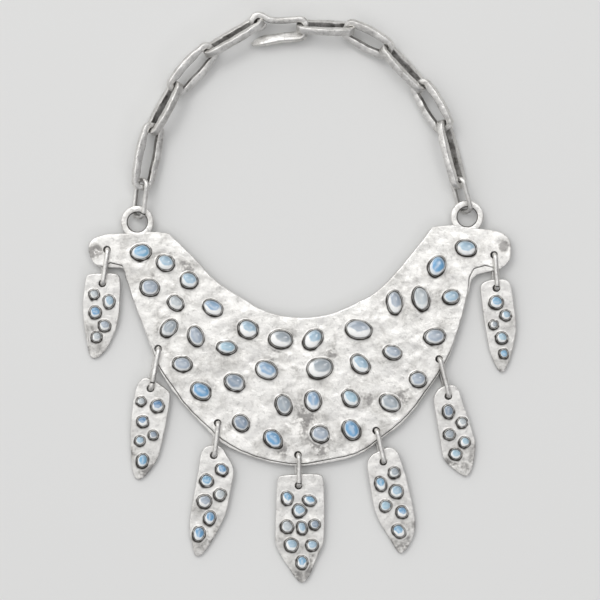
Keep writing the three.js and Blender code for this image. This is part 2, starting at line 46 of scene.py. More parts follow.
BEZEL_RISE = 1.1
STONE_RISE = 2.3
DROP_SHEET = 1.5
DROP_BEZEL = 5.6
DROP_STONE_RISE = 1.6
RING_WIRE = 2.0
RING_CORNER = 1.5
RING_LEAN = 12
LOOP_RADIUS = 7.3
LOOP_BAND = 3.0
CHAIN_RISE = 92.4
LINK_WIDTH = 9.8
LINK_STRIP = 2.0
LINK_DEPTH = 3.2
LINK_CORNER = 2.4
LINK_BOW = 0.9
END_RING_WIDTH = 8.8
END_RING_WIRE = 2.1
END_RING_CORNER = 2.6
END_RING_TILT = 46
CLASP_TILT = 14

# What only the visible pieces have: relief, the bezels' dark feet of oxidation and painted shade, and the
# spread of hammered strips
BIB_RELIEF = 1.05
DROP_RELIEF = 0.62
LIP = 0.52  # how far a bezel's lip reaches in over its stone
FOOT = 0.25  # how far its wall stands in from the edge of the dark foot
STRIP_SHOWN = 2.6
STRIP_SPREAD = 0.36
RING_SHOWN = RING_WIRE * 0.54
HOLE_RADIUS = RING_WIRE / 2 + 0.36
SEAM_DROP = 0.01  # how far the back sheet's face lies under the front sheet

# Where the photograph's light comes from, across the bib
BIB_LIGHT = Vector((0.4, 0.92))

# Edge of the bib, clockwise: shares of span and depth, and how much of the back sheet's margin shows
NECKLINE = [
    (-0.311, 0.999, 0), (-0.258, 0.906, 0), (-0.201, 0.798, 0), (-0.142, 0.725, 0),
    (-0.075, 0.66, 0), (0, 0.637, 0), (0.071, 0.652, 0), (0.135, 0.7, 0), (0.188, 0.757, 0),
    (0.249, 0.876, 0), (0.314, 1.026, 0),
]
RIGHT_ARM = [
    (0.362, 1.034, 0), (0.425, 1.018, 0), (0.472, 1.005, 0), (0.494, 0.976, 0),
    (0.5, 0.93, 0), (0.495, 0.88, 0), (0.473, 0.842, 0),
]
RIGHT_SHELF = [(0.443, 0.831, 2.5), (0.419, 0.821, 3), (0.406, 0.8, 2)]
OUTER_EDGE = [
    (0.399, 0.742, 0.4), (0.376, 0.588, 0.3), (0.346, 0.446, 0.5), (0.284, 0.275, 1),
    (0.242, 0.185, 1), (0.199, 0.124, 1), (0.137, 0.047, 1), (0.06, 0.012, 1), (-0.011, 0, 0.8),
    (-0.08, 0.02, 1), (-0.142, 0.058, 1), (-0.189, 0.103, 1), (-0.223, 0.161, 1),
    (-0.268, 0.247, 1), (-0.308, 0.339, 1), (-0.338, 0.43, 0.9), (-0.36, 0.541, 0.3),
    (-0.384, 0.654, 0.2), (-0.401, 0.742, 0.2), (-0.419, 0.845, 0.3),
]
LEFT_SHELF = [(-0.421, 0.849, 1.6), (-0.45, 0.852, 1.8)]
LEFT_ARM = [
    (-0.468, 0.85, 0.5), (-0.488, 0.868, 0), (-0.5, 0.924, 0), (-0.494, 0.968, 0),
    (-0.462, 0.993, 0), (-0.422, 0.997, 0), (-0.341, 1.006, 0),
]

# Stones of the bib: place, length and width as shares of the bezel, turn, colour, and how milky each is,
# which sets its painted sheen
BIB_STONES = [
    (-0.376, 0.918, 0.99, 1, 8, "blue", 0.35),
    (-0.318, 0.873, 0.9, 1, -30, "pale", 0.75),
    (-0.262, 0.798, 0.86, 1, -25, "pale", 0.6),
    (-0.355, 0.767, 0.92, 1.05, -15, "lavender", 0.15),
    (-0.294, 0.701, 0.86, 0.88, -45, "clear", 0.5),
    (-0.206, 0.68, 1.01, 0.97, -30, "periwinkle", 0.85),
    (-0.123, 0.588, 0.97, 1.12, -35, "pale", 0.9),
    (-0.309, 0.593, 0.97, 0.91, 50, "grey", 0.3),
    (-0.246, 0.558, 1.01, 0.95, -70, "lavender", 0.2),
    (-0.173, 0.509, 0.94, 0.86, -5, "cyan", 0.35),
    (-0.278, 0.438, 0.92, 0.95, -10, "lavender", 0.2),
    (-0.154, 0.361, 1.01, 1.05, -30, "slate", 0.25),
    (-0.234, 0.323, 1.01, 1.03, -30, "sky", 0.15),
    (-0.139, 0.186, 0.86, 0.97, -50, "slate", 0.1),
    (-0.045, 0.545, 1.12, 1.12, -5, "grey", 0.95),
    (0.031, 0.545, 1.08, 1.03, 52, "pale", 0.9),
    (-0.079, 0.413, 1.08, 1.09, -27, "periwinkle", 0.45),
    (0.047, 0.422, 1.23, 1.26, 15, "grey", 0.75),
    (0.139, 0.587, 1.24, 1.17, -8, "lavender", 1.0),
    (0.224, 0.703, 1.12, 0.95, -85, "lavender", 0.7),
    (0.286, 0.72, 1.16, 1, -78, "clear", 0.3),
    (0.324, 0.858, 1.03, 1.03, 65, "sky", 0.35),
    (0.358, 0.727, 0.83, 0.88, 10, "pale", 0.2),
    (0.319, 0.557, 1.01, 1, 8, "lavender", 0.2),
    (0.219, 0.489, 0.9, 0.88, -15, "lavender", 0.3),
    (0.142, 0.439, 1.03, 1, -45, "pale", 0.7),
    (0.279, 0.373, 0.83, 0.97, -15, "lavender", 0.2),
    (0.393, 0.936, 1.01, 1, -15, "pale", 0.7),
    (-0.038, 0.264, 1.01, 0.97, -75, "grey", 0.1),
    (0.031, 0.282, 0.99, 1, -88, "periwinkle", 0.5),
    (0.12, 0.292, 0.92, 0.95, -50, "cyan", 0.6),
    (0.213, 0.273, 1.03, 1.03, -30, "grey", 0.3),
    (-0.063, 0.117, 1.01, 0.97, -45, "sky", 0.2),
    (0.048, 0.139, 0.92, 1.03, -25, "lavender", 0.2),
    (0.122, 0.157, 1.01, 1.03, -65, "sky", 0.05),
]

# Drops: stones are place along and aside, length, width, turn and colour
DROPS = [
    {
        "name": "far_left", "across": -0.457, "up": 0.929, "reach": 15, "ring_turn": -8,
        "length": 33.7, "width": 16.5, "turn": -7,
        "edge": [
            (-0.1, -0.39), (-0.15, 0.33), (-0.1, 0.45), (0.16, 0.52), (0.44, 0.54), (0.69, 0.44),
            (0.91, 0.24), (1, 0), (0.96, -0.11), (0.7, -0.28), (0.38, -0.43), (0.11, -0.46),
            (-0.04, -0.44),
        ],
        "stones": [
            (0.15, -0.18, 0.86, 0.86, 0, "clear"),
            (0.22, 0.24, 1.18, 0.98, 90, "pale"),
            (0.38, -0.09, 1.05, 1.05, 0, "sky"),
            (0.54, 0.2, 1, 1, 0, "lavender"),
            (0.7, 0.02, 0.94, 0.94, 0, "clear"),
        ],
    },
    {
        "name": "left", "across": -0.336, "up": 0.504, "reach": 17.8, "ring_turn": -11,
        "length": 41, "width": 15.8, "turn": -8,
        "edge": [
            (-0.09, -0.25), (-0.11, -0.09), (-0.01, 0.48), (0.05, 0.58), (0.3, 0.57), (0.56, 0.53),
            (0.77, 0.44), (0.96, 0.16), (1, 0), (0.95, -0.14), (0.74, -0.27), (0.48, -0.38),
            (0.23, -0.42), (0, -0.38),
        ],
        "stones": [
            (0.15, -0.2, 0.8, 0.8, 0, "clear"),
            (0.17, 0.27, 1.1, 1.1, 0, "deep"),
            (0.36, -0.08, 0.98, 0.98, 0, "deep"),
            (0.49, 0.26, 0.83, 0.83, 0, "slate"),
            (0.57, -0.08, 0.86, 0.86, 0, "pale"),
            (0.78, 0.06, 1.2, 0.98, 90, "blue"),
        ],
    },
    {
        "name": "near_left", "across": -0.195, "up": 0.185, "reach": 14.3, "ring_turn": -7,
        "length": 45.8, "width": 16, "turn": -9,
        "edge": [
            (-0.05, -0.31), (-0.1, 0.1), (-0.04, 0.31), (0.08, 0.58), (0.13, 0.63), (0.32, 0.61),
            (0.52, 0.59), (0.71, 0.44), (0.92, 0.19), (1, 0), (0.97, -0.11), (0.79, -0.28),
            (0.66, -0.37), (0.19, -0.35),
        ],
        "stones": [
            (0.12, 0.28, 1.05, 0.94, -50, "sky"),
            (0.25, -0.08, 1.09, 1.09, 0, "blue"),
            (0.36, 0.34, 1.01, 1.01, 0, "clear"),
            (0.45, -0.05, 1.16, 1.16, 0, "lavender"),
            (0.6, 0.16, 1.25, 0.98, 90, "sky"),
            (0.77, -0.06, 1.25, 1.05, 90, "sky"),
        ],
    },
    {
        "name": "centre", "across": -0.005, "up": 0.048, "reach": 13.5, "ring_turn": 1,
        "length": 43.3, "width": 22.1, "turn": 2,
        "edge": [
            (-0.11, -0.33), (-0.11, 0.42), (-0.05, 0.5), (0.15, 0.51), (0.45, 0.49), (0.61, 0.45),
            (0.75, 0.31), (0.94, 0.14), (1, 0), (0.95, -0.11), (0.78, -0.32), (0.62, -0.48),
            (0.48, -0.49), (0.13, -0.45), (-0.06, -0.41),
        ],
        "stones": [
            (0.12, -0.23, 1.16, 0.98, 90, "blue"),
            (0.15, 0.21, 1.12, 0.93, -25, "blue"),
            (0.25, 0, 1.12, 1.12, 0, "pale"),
            (0.41, -0.25, 1.09, 1.09, 0, "clear"),
            (0.43, 0.04, 1.15, 0.84, 90, "pale"),
            (0.4, 0.3, 0.91, 0.91, 0, "slate"),
            (0.6, -0.18, 1.16, 1.16, 0, "pale"),
            (0.61, 0.23, 1.01, 1.01, 0, "pale"),
            (0.78, 0.02, 1.2, 1.01, 90, "blue"),
        ],
    },
    {
        "name": "near_right", "across": 0.18, "up": 0.152, "reach": 14, "ring_turn": 13,
        "length": 41.8, "width": 16.9, "turn": 11,
        "edge": [
            (-0.14, 0.13), (-0.13, 0.3), (-0.07, 0.42), (0.05, 0.48), (0.26, 0.52), (0.5, 0.54),
            (0.68, 0.53), (0.82, 0.43), (0.94, 0.2), (1, 0), (0.96, -0.08), (0.8, -0.23),
            (0.59, -0.42), (0.42, -0.46), (0.05, -0.44), (-0.03, -0.4), (-0.09, -0.28),
        ],
        "stones": [
            (0.13, 0.23, 0.98, 0.98, 0, "grey"),
            (0.22, -0.17, 1.25, 0.94, 90, "blue"),
            (0.33, 0.19, 1.16, 1.16, 0, "pale"),
            (0.46, -0.16, 1.01, 1.01, 0, "cyan"),
            (0.56, 0.23, 1.01, 1.01, 0, "sky"),
            (0.75, 0.06, 1.2, 1.01, -65, "blue"),
        ],
    },
    {
        "name": "right", "across": 0.329, "up": 0.459, "reach": 16.7, "ring_turn": 14,
        "length": 36.7, "width": 15.3, "turn": 12,
        "edge": [
            (-0.13, 0.12), (-0.1, 0.28), (-0.06, 0.34), (0.1, 0.37), (0.35, 0.45), (0.57, 0.5),
            (0.68, 0.46), (0.87, 0.3), (0.98, 0.14), (1, 0), (0.96, -0.11), (0.84, -0.35),
            (0.73, -0.5), (0.52, -0.49), (0.03, -0.44), (-0.05, -0.37), (-0.12, -0.17),
        ],
        "stones": [
            (0.18, -0.09, 1.2, 0.94, 90, "slate"),
            (0.34, 0.23, 0.94, 0.94, 0, "clear"),
            (0.45, -0.19, 0.94, 0.94, 0, "grey"),
            (0.58, 0.2, 0.94, 0.94, 0, "cyan"),
            (0.7, -0.13, 1.05, 0.98, 0, "cyan"),
        ],
    },
    {
        "name": "far_right", "across": 0.459, "up": 0.906, "reach": 14.6, "ring_turn": 4,
        "length": 37.6, "width": 14.9, "turn": 4,
        "edge": [
            (-0.1, -0.19), (-0.1, 0.26), (-0.05, 0.43), (0.02, 0.46), (0.26, 0.5), (0.45, 0.53),
            (0.64, 0.44), (0.86, 0.25), (0.98, 0.1), (1, 0), (0.96, -0.12), (0.75, -0.3),
            (0.45, -0.4), (0.01, -0.47), (-0.06, -0.43),
        ],
        "stones": [
            (0.16, -0.03, 1.12, 1.12, 0, "blue"),
            (0.32, 0.23, 0.91, 0.91, 0, "pale"),
            (0.42, -0.14, 0.8, 0.8, 0, "grey"),
            (0.58, 0.07, 1, 1, 0, "cyan"),
            (0.77, 0.1, 0.8, 0.8, 0, "blue"),
        ],
    },
]

LOOPS = {"left": (-0.385, 0.66), "right": (0.396, 0.98)}
CHAIN_ROUTE = [
    (-0.373, 0.236), (-0.347, 0.495), (-0.294, 0.692), (-0.214, 0.865), (-0.102, 0.997), (0.008, 0.979),
    (0.116, 0.97), (0.205, 0.871), (0.285, 0.698), (0.34, 0.51), (0.374, 0.241),
]
LEFT_TILTS = [26, -58, 24, -62]
RIGHT_TILTS = [-62, 26, -58, 28, -58]
CLASP_LINE = [
    (0.19, 0), (0.1, -0.115), (-0.04, -0.1), (-0.112, 0.035), (-0.04, 0.16), (0.09, 0.175),
    (0.21, 0.12), (0.35, 0.09), (0.6, 0.11), (0.9, 0.16), (1.01, 0.12), (1.05, 0.02), (1.03, -0.12),
    (0.93, -0.2), (0.52, -0.28), (0.14, -0.38), (-0.07, -0.47),
]

# Brighter and darker places of the sheet: across and down in the photograph's pixels, radius, shade
# The bright place at 262, 388 is a painted highlight on a raised lump that the sheet does not have.
PATCHES = [
    (243, 437, 15, 0.55), (262, 388, 9, 0.8), (232, 425, 8, -0.3), (306, 414, 11, -0.55),
    (300, 430, 13, -0.35), (320, 446, 12, -0.6), (287, 452, 9, -0.45), (333, 352, 10, -0.35),
    (402, 398, 11, -0.4), (368, 398, 9, -0.3), (186, 268, 9, -0.3), (214, 345, 9, -0.25),
    (276, 352, 7, -0.25), (296, 371, 7, -0.3), (345, 372, 12, 0.25), (272, 300, 12, 0.3),
    (230, 300, 10, 0.25), (178, 240, 10, 0.25), (420, 300, 9, -0.25), (395, 330, 9, 0.25),
    (160, 330, 8, -0.2), (345, 412, 10, 0.3), (96, 251, 7, -1.0), (112, 240, 9, 0.3),
    (503, 246, 7, -0.7), (255, 330, 10, 0.25), (200, 385, 8, 0.2), (440, 350, 8, -0.2),
    (372, 432, 9, 0.25),
]

# Colours of the moonstones, as seen: red, green, blue of 255
HUES = {
    "deep": (78, 134, 182), "sky": (110, 166, 210), "blue": (126, 180, 216), "periwinkle": (142, 176, 208),
    "pale": (166, 196, 216), "cyan": (166, 200, 218), "lavender": (168, 180, 194), "slate": (140, 156, 174),
    "grey": (162, 172, 180), "clear": (194, 202, 206),
}

BIB_BACK = RING_WIRE + RING_SLACK
BIB_SEAM = BIB_BACK + BACK_SHEET
BIB_FRONT = BIB_SEAM + FRONT_SHEET
RING_LEVEL = (BIB_BACK + BIB_FRONT) / 2
DROP_FACE = DROP_SHEET - 0.02

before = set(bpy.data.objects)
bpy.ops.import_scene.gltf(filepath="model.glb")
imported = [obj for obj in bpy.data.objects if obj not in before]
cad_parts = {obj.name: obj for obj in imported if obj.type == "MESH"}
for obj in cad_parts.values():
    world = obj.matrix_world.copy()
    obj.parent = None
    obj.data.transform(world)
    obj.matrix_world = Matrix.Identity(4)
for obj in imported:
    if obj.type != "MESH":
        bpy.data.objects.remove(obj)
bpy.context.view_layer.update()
CELL = 0.85


def on_bib(across, up):
    return Vector((across * BIB_SPAN, up * BIB_DEPTH))


def from_photo(px, py):
    return Vector(((px - 300) * PIXEL, (466 - py) * PIXEL))


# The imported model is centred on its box, so the first stone says where the bib lies
stone_low, stone_high = (Vector(corner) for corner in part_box("stone_01"))
first = on_bib(*BIB_STONES[0][:2]) * MM
SHIFT = Vector((
    (stone_low.x + stone_high.x) / 2 - first.x,
    (stone_low.y + stone_high.y) / 2 - first.y,
    stone_low.z - (BIB_FRONT + CLEARANCE) * MM,
))


def smoothstep(low, high, value):
    t = min(max((value - low) / (high - low), 0), 1)
    return t * t * (3 - 2 * t)


def linear(colour):
    return [(c / 255) ** 2.2 for c in colour]


# Materials


def node(tree, kind, inputs=None, **settings):
    made = tree.nodes.new(kind)
    for name, value in settings.items():
        setattr(made, name, value)
    for name, value in (inputs or {}).items():
        if isinstance(value, bpy.types.NodeSocket):
            tree.links.new(value, made.inputs[name])
        else:
            made.inputs[name].default_value = value
    return made


def ramp(tree, factor, stops):
    made = node(tree, "ShaderNodeValToRGB", {"Fac": factor})
    elements = made.color_ramp.elements
    while len(elements) < len(stops):
        elements.new(0.5)
    for element, (position, colour) in zip(elements, stops):
        element.position = position
        element.color = (*colour, 1)
    return made.outputs["Color"]


def grey(value):
    return (value, value, value)


def noise_of(tree, place, scale, detail, roughness=0.5, distortion=0.0):
    made = node(tree, "ShaderNodeTexNoise", {
        "Vector": place, "Scale": scale, "Detail": detail, "Roughness": roughness, "Distortion": distortion,
    })
    return made.outputs["Fac"]


def mixed(tree, factor, first_colour, second_colour, how="MIX"):
    made = tree.nodes.new("ShaderNodeMix")
    made.data_type = "RGBA"
    made.blend_type = how
    for index, value in ((0, factor), (6, first_colour), (7, second_colour)):
        if isinstance(value, bpy.types.NodeSocket):
            tree.links.new(value, made.inputs[index])
        elif index == 0:
            made.inputs[0].default_value = value
        else:
            made.inputs[index].default_value = (*value, 1)
    return made.outputs[2]


def maths(tree, how, first_value, second_value):
    made = tree.nodes.new("ShaderNodeMath")
    made.operation = how
    for index, value in enumerate((first_value, second_value)):
        if isinstance(value, bpy.types.NodeSocket):
            tree.links.new(value, made.inputs[index])
        else:
            made.inputs[index].default_value = value
    return made.outputs[0]


def silver(name, dents, pits, light, dark_tone):
    """Hand-worked silver: soft dents, grey mottling, small dark pits, and dark oxidation with painted shade
    where the points say.
    """
    material = bpy.data.materials.new(name)
    material.use_nodes = True
    tree = material.node_tree
    shader = tree.nodes["Principled BSDF"]
    place = node(tree, "ShaderNodeTexCoord").outputs["Object"]
    oxide_and_shade = node(tree, "ShaderNodeAttribute", attribute_name="oxide_and_shade").outputs["Fac"]
    shade = node(tree, "ShaderNodeAttribute", attribute_name="shade").outputs["Fac"]

    cloud = noise_of(tree, place, 120, 8, 0.7, 0.4)
    flecks = ramp(tree, noise_of(tree, place, 330, 6, 0.72), [(0.4, grey(0.0)), (0.6, grey(0.8))])
    # Random mottling, moved by the points' brighter and darker places and painted shade, in flecks
    smear = maths(tree, "ADD", cloud, maths(tree, "MULTIPLY", shade, flecks))
    base = ramp(tree, smear, [
        (0.22, (dark_tone * 0.62, dark_tone * 0.6, dark_tone * 0.58)),
        (0.37, (light * 0.72, light * 0.705, light * 0.675)),
        (0.5, (light * 0.93, light * 0.915, light * 0.885)),
        (0.66, (light, light * 0.985, light * 0.955)),
    ])
    grain = noise_of(tree, place, 620, 5, 0.7)
    speckle = ramp(tree, grain, [(0.33, grey(0.6)), (0.42, grey(0.92)), (0.5, grey(1.0))])
    base = mixed(tree, pits, base, speckle, "MULTIPLY")
    pit = ramp(tree, noise_of(tree, place, 260, 6, 0.75, 1.2), [(0.3, grey(1.0)), (0.38, grey(0.0))])
    pit_area = ramp(tree, noise_of(tree, place, 55, 2), [(0.5, grey(0.0)), (0.64, grey(1.0))])
    pit_here = maths(tree, "MULTIPLY", maths(tree, "MULTIPLY", pit, pit_area), pits)
    base = mixed(tree, pit_here, base, (0.16, 0.15, 0.14))
    # Dark oxidation and painted shade, as the points carry them, made ragged by the grain
    ragged = maths(tree, "ADD", oxide_and_shade, maths(tree, "MULTIPLY", maths(tree, "SUBTRACT", grain, 0.5), 0.5))
    oxide_and_shade_mask = ramp(tree, ragged, [(0.25, grey(0.0)), (0.8, grey(1.0))])
    base = mixed(tree, oxide_and_shade_mask, base, (0.042, 0.037, 0.032))
    tree.links.new(base, shader.inputs["Base Color"])
    shader.inputs["Metallic"].default_value = 1.0

    rough = maths(tree, "ADD", maths(tree, "MULTIPLY", cloud, -0.35), 0.57)
    rough = maths(tree, "ADD", rough, maths(tree, "MULTIPLY", oxide_and_shade_mask, 0.3))
    tree.links.new(rough, shader.inputs["Roughness"])

    hammered = {"Vector": place, "Scale": 150, "Smoothness": 0.8}
    cells = node(tree, "ShaderNodeTexVoronoi", hammered, feature="SMOOTH_F1")
    hollow = node(tree, "ShaderNodeBump", {
        "Height": cells.outputs["Distance"], "Strength": dents, "Distance": 0.0012,
    })
    wave = node(tree, "ShaderNodeBump", {
        "Height": noise_of(tree, place, 330, 6, 0.62, 0.3), "Strength": dents, "Distance": 0.0008,
        "Normal": hollow.outputs["Normal"],
    })
    fine = node(tree, "ShaderNodeBump", {
        "Height": maths(tree, "SUBTRACT", grain, pit_here), "Strength": 0.5 * dents, "Distance": 0.00022,
        "Normal": wave.outputs["Normal"],
    })
    tree.links.new(fine.outputs["Normal"], shader.inputs["Normal"])
    return material


def moonstone():
    """Milky stone with a polished face; its colour, painted sheen and painted shadow are set on its points.
    """
    material = bpy.data.materials.new("moonstone")
    material.use_nodes = True
    tree = material.node_tree
    shader = tree.nodes["Principled BSDF"]
    place = node(tree, "ShaderNodeTexCoord").outputs["Object"]
    tint_sheen_shadow = node(tree, "ShaderNodeAttribute", attribute_name="tint_sheen_shadow").outputs["Color"]
    veil = ramp(tree, noise_of(tree, place, 420, 5, 0.6, 1.5), [(0.35, grey(0.9)), (0.58, grey(1.0))])
    base = mixed(tree, 0.6, tint_sheen_shadow, veil, "MULTIPLY")
    crack = ramp(tree, noise_of(tree, place, 900, 3, 0.6, 3.0), [(0.62, grey(0.0)), (0.72, grey(1.0))])
    base = mixed(tree, maths(tree, "MULTIPLY", crack, 0.25), base, (0.85, 0.9, 0.95))
    tree.links.new(base, shader.inputs["Base Color"])
    shader.inputs["Roughness"].default_value = 0.12
    shader.inputs["IOR"].default_value = 1.53
    shader.inputs["Subsurface Weight"].default_value = 0.1
    shader.inputs["Subsurface Radius"].default_value = (0.9, 1.0, 1.2)
    shader.inputs["Subsurface Scale"].default_value = 0.001
    shader.inputs["Coat Weight"].default_value = 0.6
    shader.inputs["Coat Roughness"].default_value = 0.04
    return material


SHEET = silver("silver_sheet", 0.34, 0.7, 0.87, 0.55)
PLATE = silver("silver_drop", 0.36, 0.7, 0.86, 0.5)
WIRE = silver("silver_wire", 0.45, 0.7, 0.84, 0.4)
STRIP = silver("silver_strip", 0.6, 0.8, 0.8, 0.32)
STONE = moonstone()


# Building


def new_mesh():
    """An empty mesh whose points carry darkness from oxidation and painted shade, brighter and darker places
    with painted shade, stone colour with painted sheen and shadow, and their place in a row.
    """
    bm = bmesh.new()
    bm.verts.layers.float.new("oxide_and_shade")
    bm.verts.layers.float.new("shade")
    bm.verts.layers.int.new("station")
    bm.verts.layers.float_color.new("tint_sheen_shadow")
    return bm


def add_piece(name, bm, material, nodes, sharp=None):
    """Takes the mesh from millimetres on the bib to metres in the frame, links the piece under the root body
    and hides the parts it stands for.
    """
    bmesh.ops.recalc_face_normals(bm, faces=bm.faces)
    bmesh.ops.scale(bm, vec=(MM, MM, MM), verts=bm.verts)
    bmesh.ops.translate(bm, vec=SHIFT, verts=bm.verts)
    mesh = bpy.data.meshes.new(name)
    bm.to_mesh(mesh)
    bm.free()
    mesh.shade_smooth()
    if sharp:
        mesh.set_sharp_from_angle(angle=math.radians(sharp))
    mesh.materials.append(material)
    obj = bpy.data.objects.new(name, mesh)
    bpy.context.scene.collection.objects.link(obj)
    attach(obj, "root")
    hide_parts(*nodes)
    return obj


def spline(points, steps):
    """A Catmull-Rom curve through the points, with its ends held."""
    line = []
    last = len(points) - 1
    for i in range(last):
        p0, p1, p2, p3 = (points[min(max(i + k, 0), last)] for k in (-1, 0, 1, 2))
        for j in range(steps):
            t = j / steps
            a, b = (p2 - p0) / 2, (p3 - p1) / 2
            line.append(
                p1 * (2 * t**3 - 3 * t**2 + 1) + a * (t**3 - 2 * t**2 + t)
                + p2 * (3 * t**2 - 2 * t**3) + b * (t**3 - t**2)
            )
    return line + [points[-1]]


def inward(line, inset):
    """A closed line moved towards its inside, which lies on the right of its run."""
    count = len(line)
    insets = inset if isinstance(inset, list) else [inset] * count
    moved = []
    for i, point in enumerate(line):
        ahead = line[(i + 1) % count] - line[i - 1]
        moved.append(point + Vector((ahead.y, -ahead.x)).normalized() * insets[i])
    return moved


def bib_line(shelf):
    """The edge of the bib; with shelf 1 the front sheet's, which leaves the back one showing."""
    outline = []
    for run in BIB_EDGE:
        points = [on_bib(across, up) for across, up, _ in run]
        moved = []
        for i, point in enumerate(points):
            ahead = points[min(i + 1, len(points) - 1)] - points[max(i - 1, 0)]
            side = Vector((ahead.y, -ahead.x)).normalized()
            margin = BACK_MARGIN * run[i][2] * (1 + 0.7 * noise.noise(Vector((point.x / 4, point.y / 4, 6))))
            moved.append(point + side * margin * shelf)
        outline += spline(moved, 9) if len(points) > 3 else moved
    return [point + 0.2 * ragged_edge(point) for point in outline]


def spaced(line, other, least):
    """Both lines without the points that crowd in the first one."""
    kept = [0]
    for i, point in enumerate(line):
        if (point - line[kept[-1]]).length > least and (point - line[0]).length > least:
            kept.append(i)
    return [line[i] for i in kept], [other[i] for i in kept]


def ragged_edge(point):
    """The small wander of an edge cut by hand."""
    place = Vector((point.x / 3.1, point.y / 3.1, 0))
    return Vector((noise.noise(place), noise.noise(place + Vector((31, 7, 0)))))


def add_wall(bm, rows):
    """Closed rows of points, each drawn out of the one before; gives the edges of the first and the last."""
    oxide_and_shade = bm.verts.layers.float["oxide_and_shade"]
    station = bm.verts.layers.int["station"]
    verts = [bm.verts.new((0, 0, 0)) for _ in rows[0][0]]
    for i, vert in enumerate(verts):
        vert[station] = i
    first = edges = [bm.edges.new((verts[i - 1], verts[i])) for i in range(len(verts))]
    for number, (points, height, dark_tone) in enumerate(rows):
        if number:
            made = bmesh.ops.extrude_edge_only(bm, edges=edges)["geom"]
            verts = [part for part in made if isinstance(part, bmesh.types.BMVert)]
            edges = [part for part in made if isinstance(part, bmesh.types.BMEdge) and part.is_boundary]
        for vert in verts:
            point = points[vert[station]]
            vert.co = (point.x, point.y, height)
            # How dark each point is, from oxidation and painted shade
            vert[oxide_and_shade] = dark_tone
    return first, edges


def circle_points(centre, radius, count=28):
    turns = (2 * math.pi * i / count for i in range(count))
    return [centre + radius * Vector((math.cos(a), math.sin(a))) for a in turns]


def cut_grid(bm, geometry, low, high, cell):
    """Cuts a flat fill into cells, so that it can take the dents."""
    for axis in (0, 1):
        normal = Vector((1, 0, 0)) if axis == 0 else Vector((0, 1, 0))
        position = low[axis] + cell / 2
        while position < high[axis]:
            cut = bmesh.ops.bisect_plane(
                bm, geom=geometry, dist=0.001, plane_co=normal * position, plane_no=normal,
            )
            geometry = cut["geom"]
            position += cell


def sheet_metal(bm, line, bottom, top, holes, cell, edge=0.34):
    """A sheet with softened edges and round holes, its face cut into cells; painted shade darkens the lower
    part of its edge and the walls of its holes.
    """
    # Painted shade: the edge is darker low down and clean at the top
    rim = [
        (edge, bottom, 0.2), (edge * 0.3, bottom + 0.04, 0.6), (0, bottom + edge * 0.6, 0.7),
        (0, top - edge, 0.12), (edge * 0.28, top - edge * 0.3, 0), (edge, top, 0),
    ]
    lower, upper = add_wall(bm, [(inward(line, inset), height, oxide_and_shade) for inset, height, oxide_and_shade in rim])
    for centre in holes:
        # Painted shade: the walls of the holes are dark
        wall = [
            (HOLE_RADIUS + 0.5, top, 0.1), (HOLE_RADIUS + 0.12, top - 0.06, 0.9), (HOLE_RADIUS, top - 0.3, 1),
            (HOLE_RADIUS, bottom, 1),
        ]
        rows = [(circle_points(centre, radius), height, oxide_and_shade) for radius, height, oxide_and_shade in wall]
        above, below = add_wall(bm, rows)
        upper = upper + above
        lower = lower + below
    bmesh.ops.triangle_fill(bm, use_beauty=True, use_dissolve=False, edges=lower)
    face = bmesh.ops.triangle_fill(bm, use_beauty=True, use_dissolve=False, edges=upper)["geom"]
    faces = [part for part in face if isinstance(part, bmesh.types.BMFace)]
    edges = {edge_ for one in faces for edge_ in one.edges}
    verts = {vert for one in faces for vert in one.verts}
    low = [min(p[i] for p in line) for i in (0, 1)]
    high = [max(p[i] for p in line) for i in (0, 1)]
    cut_grid(bm, faces + list(edges) + list(verts), low, high, cell)


def dented(x, y, depth):
    """The relief of a hammered and partly melted sheet, in millimetres."""
    here = Vector((x, y, 0))
    broad = noise.noise(here / 26) * 0.3
    middle = noise.noise(here / 8.5 + Vector((5, 9, 2))) * 0.2
    near = noise.voronoi(here / 5.2)[0][0]
    hollow = -0.16 * smoothstep(0.55, 0.1, near)
    small = noise.noise(here / 2.3 + Vector((1, 4, 8))) * 0.05
    return depth * (broad + middle + hollow + small)


def dent(bm, top, thickness, depth, patches=()):
    """Moves the points of a sheet by its relief, all of it at the face and none at the back."""
    shade = bm.verts.layers.float["shade"]
    for vert in bm.verts:
        share = smoothstep(top - thickness, top, vert.co.z)
        vert.co.z += share * dented(vert.co.x, vert.co.y, depth)
        for centre, radius, amount in patches:
            far = (Vector(vert.co.xy) - centre).length / radius
            if far < 2:
                vert[shade] += amount * math.exp(-1.6 * far * far)


def turned(bm, profile, segments, shape):
    """Spins a profile of [radius, height] and hands each new point to shape(angle, radius, height)."""
    verts = [bm.verts.new((radius, 0, height)) for radius, height in profile]
    edges = [bm.edges.new(pair) for pair in zip(verts, verts[1:])]
    if profile[0][0] > 0 and profile[-1][0] > 0:
        edges.append(bm.edges.new((verts[-1], verts[0])))
    before = set(bm.verts) - set(verts)
    bmesh.ops.spin(
        bm, geom=verts + edges, cent=(0, 0, 0), axis=(0, 0, 1), angle=2 * math.pi, steps=segments,
        use_merge=True,
    )
    made = [vert for vert in bm.verts if vert not in before]
    if min(radius for radius, _ in profile) < 1e-6:
        centre = [vert for vert in made if vert.co.xy.length < 1e-5]
        bmesh.ops.remove_doubles(bm, verts=centre, dist=1e-4)
        made = [vert for vert in made if vert.is_valid]
    for vert in made:
        shape(vert, math.atan2(vert.co.y, vert.co.x), vert.co.xy.length, vert.co.z)
    return made


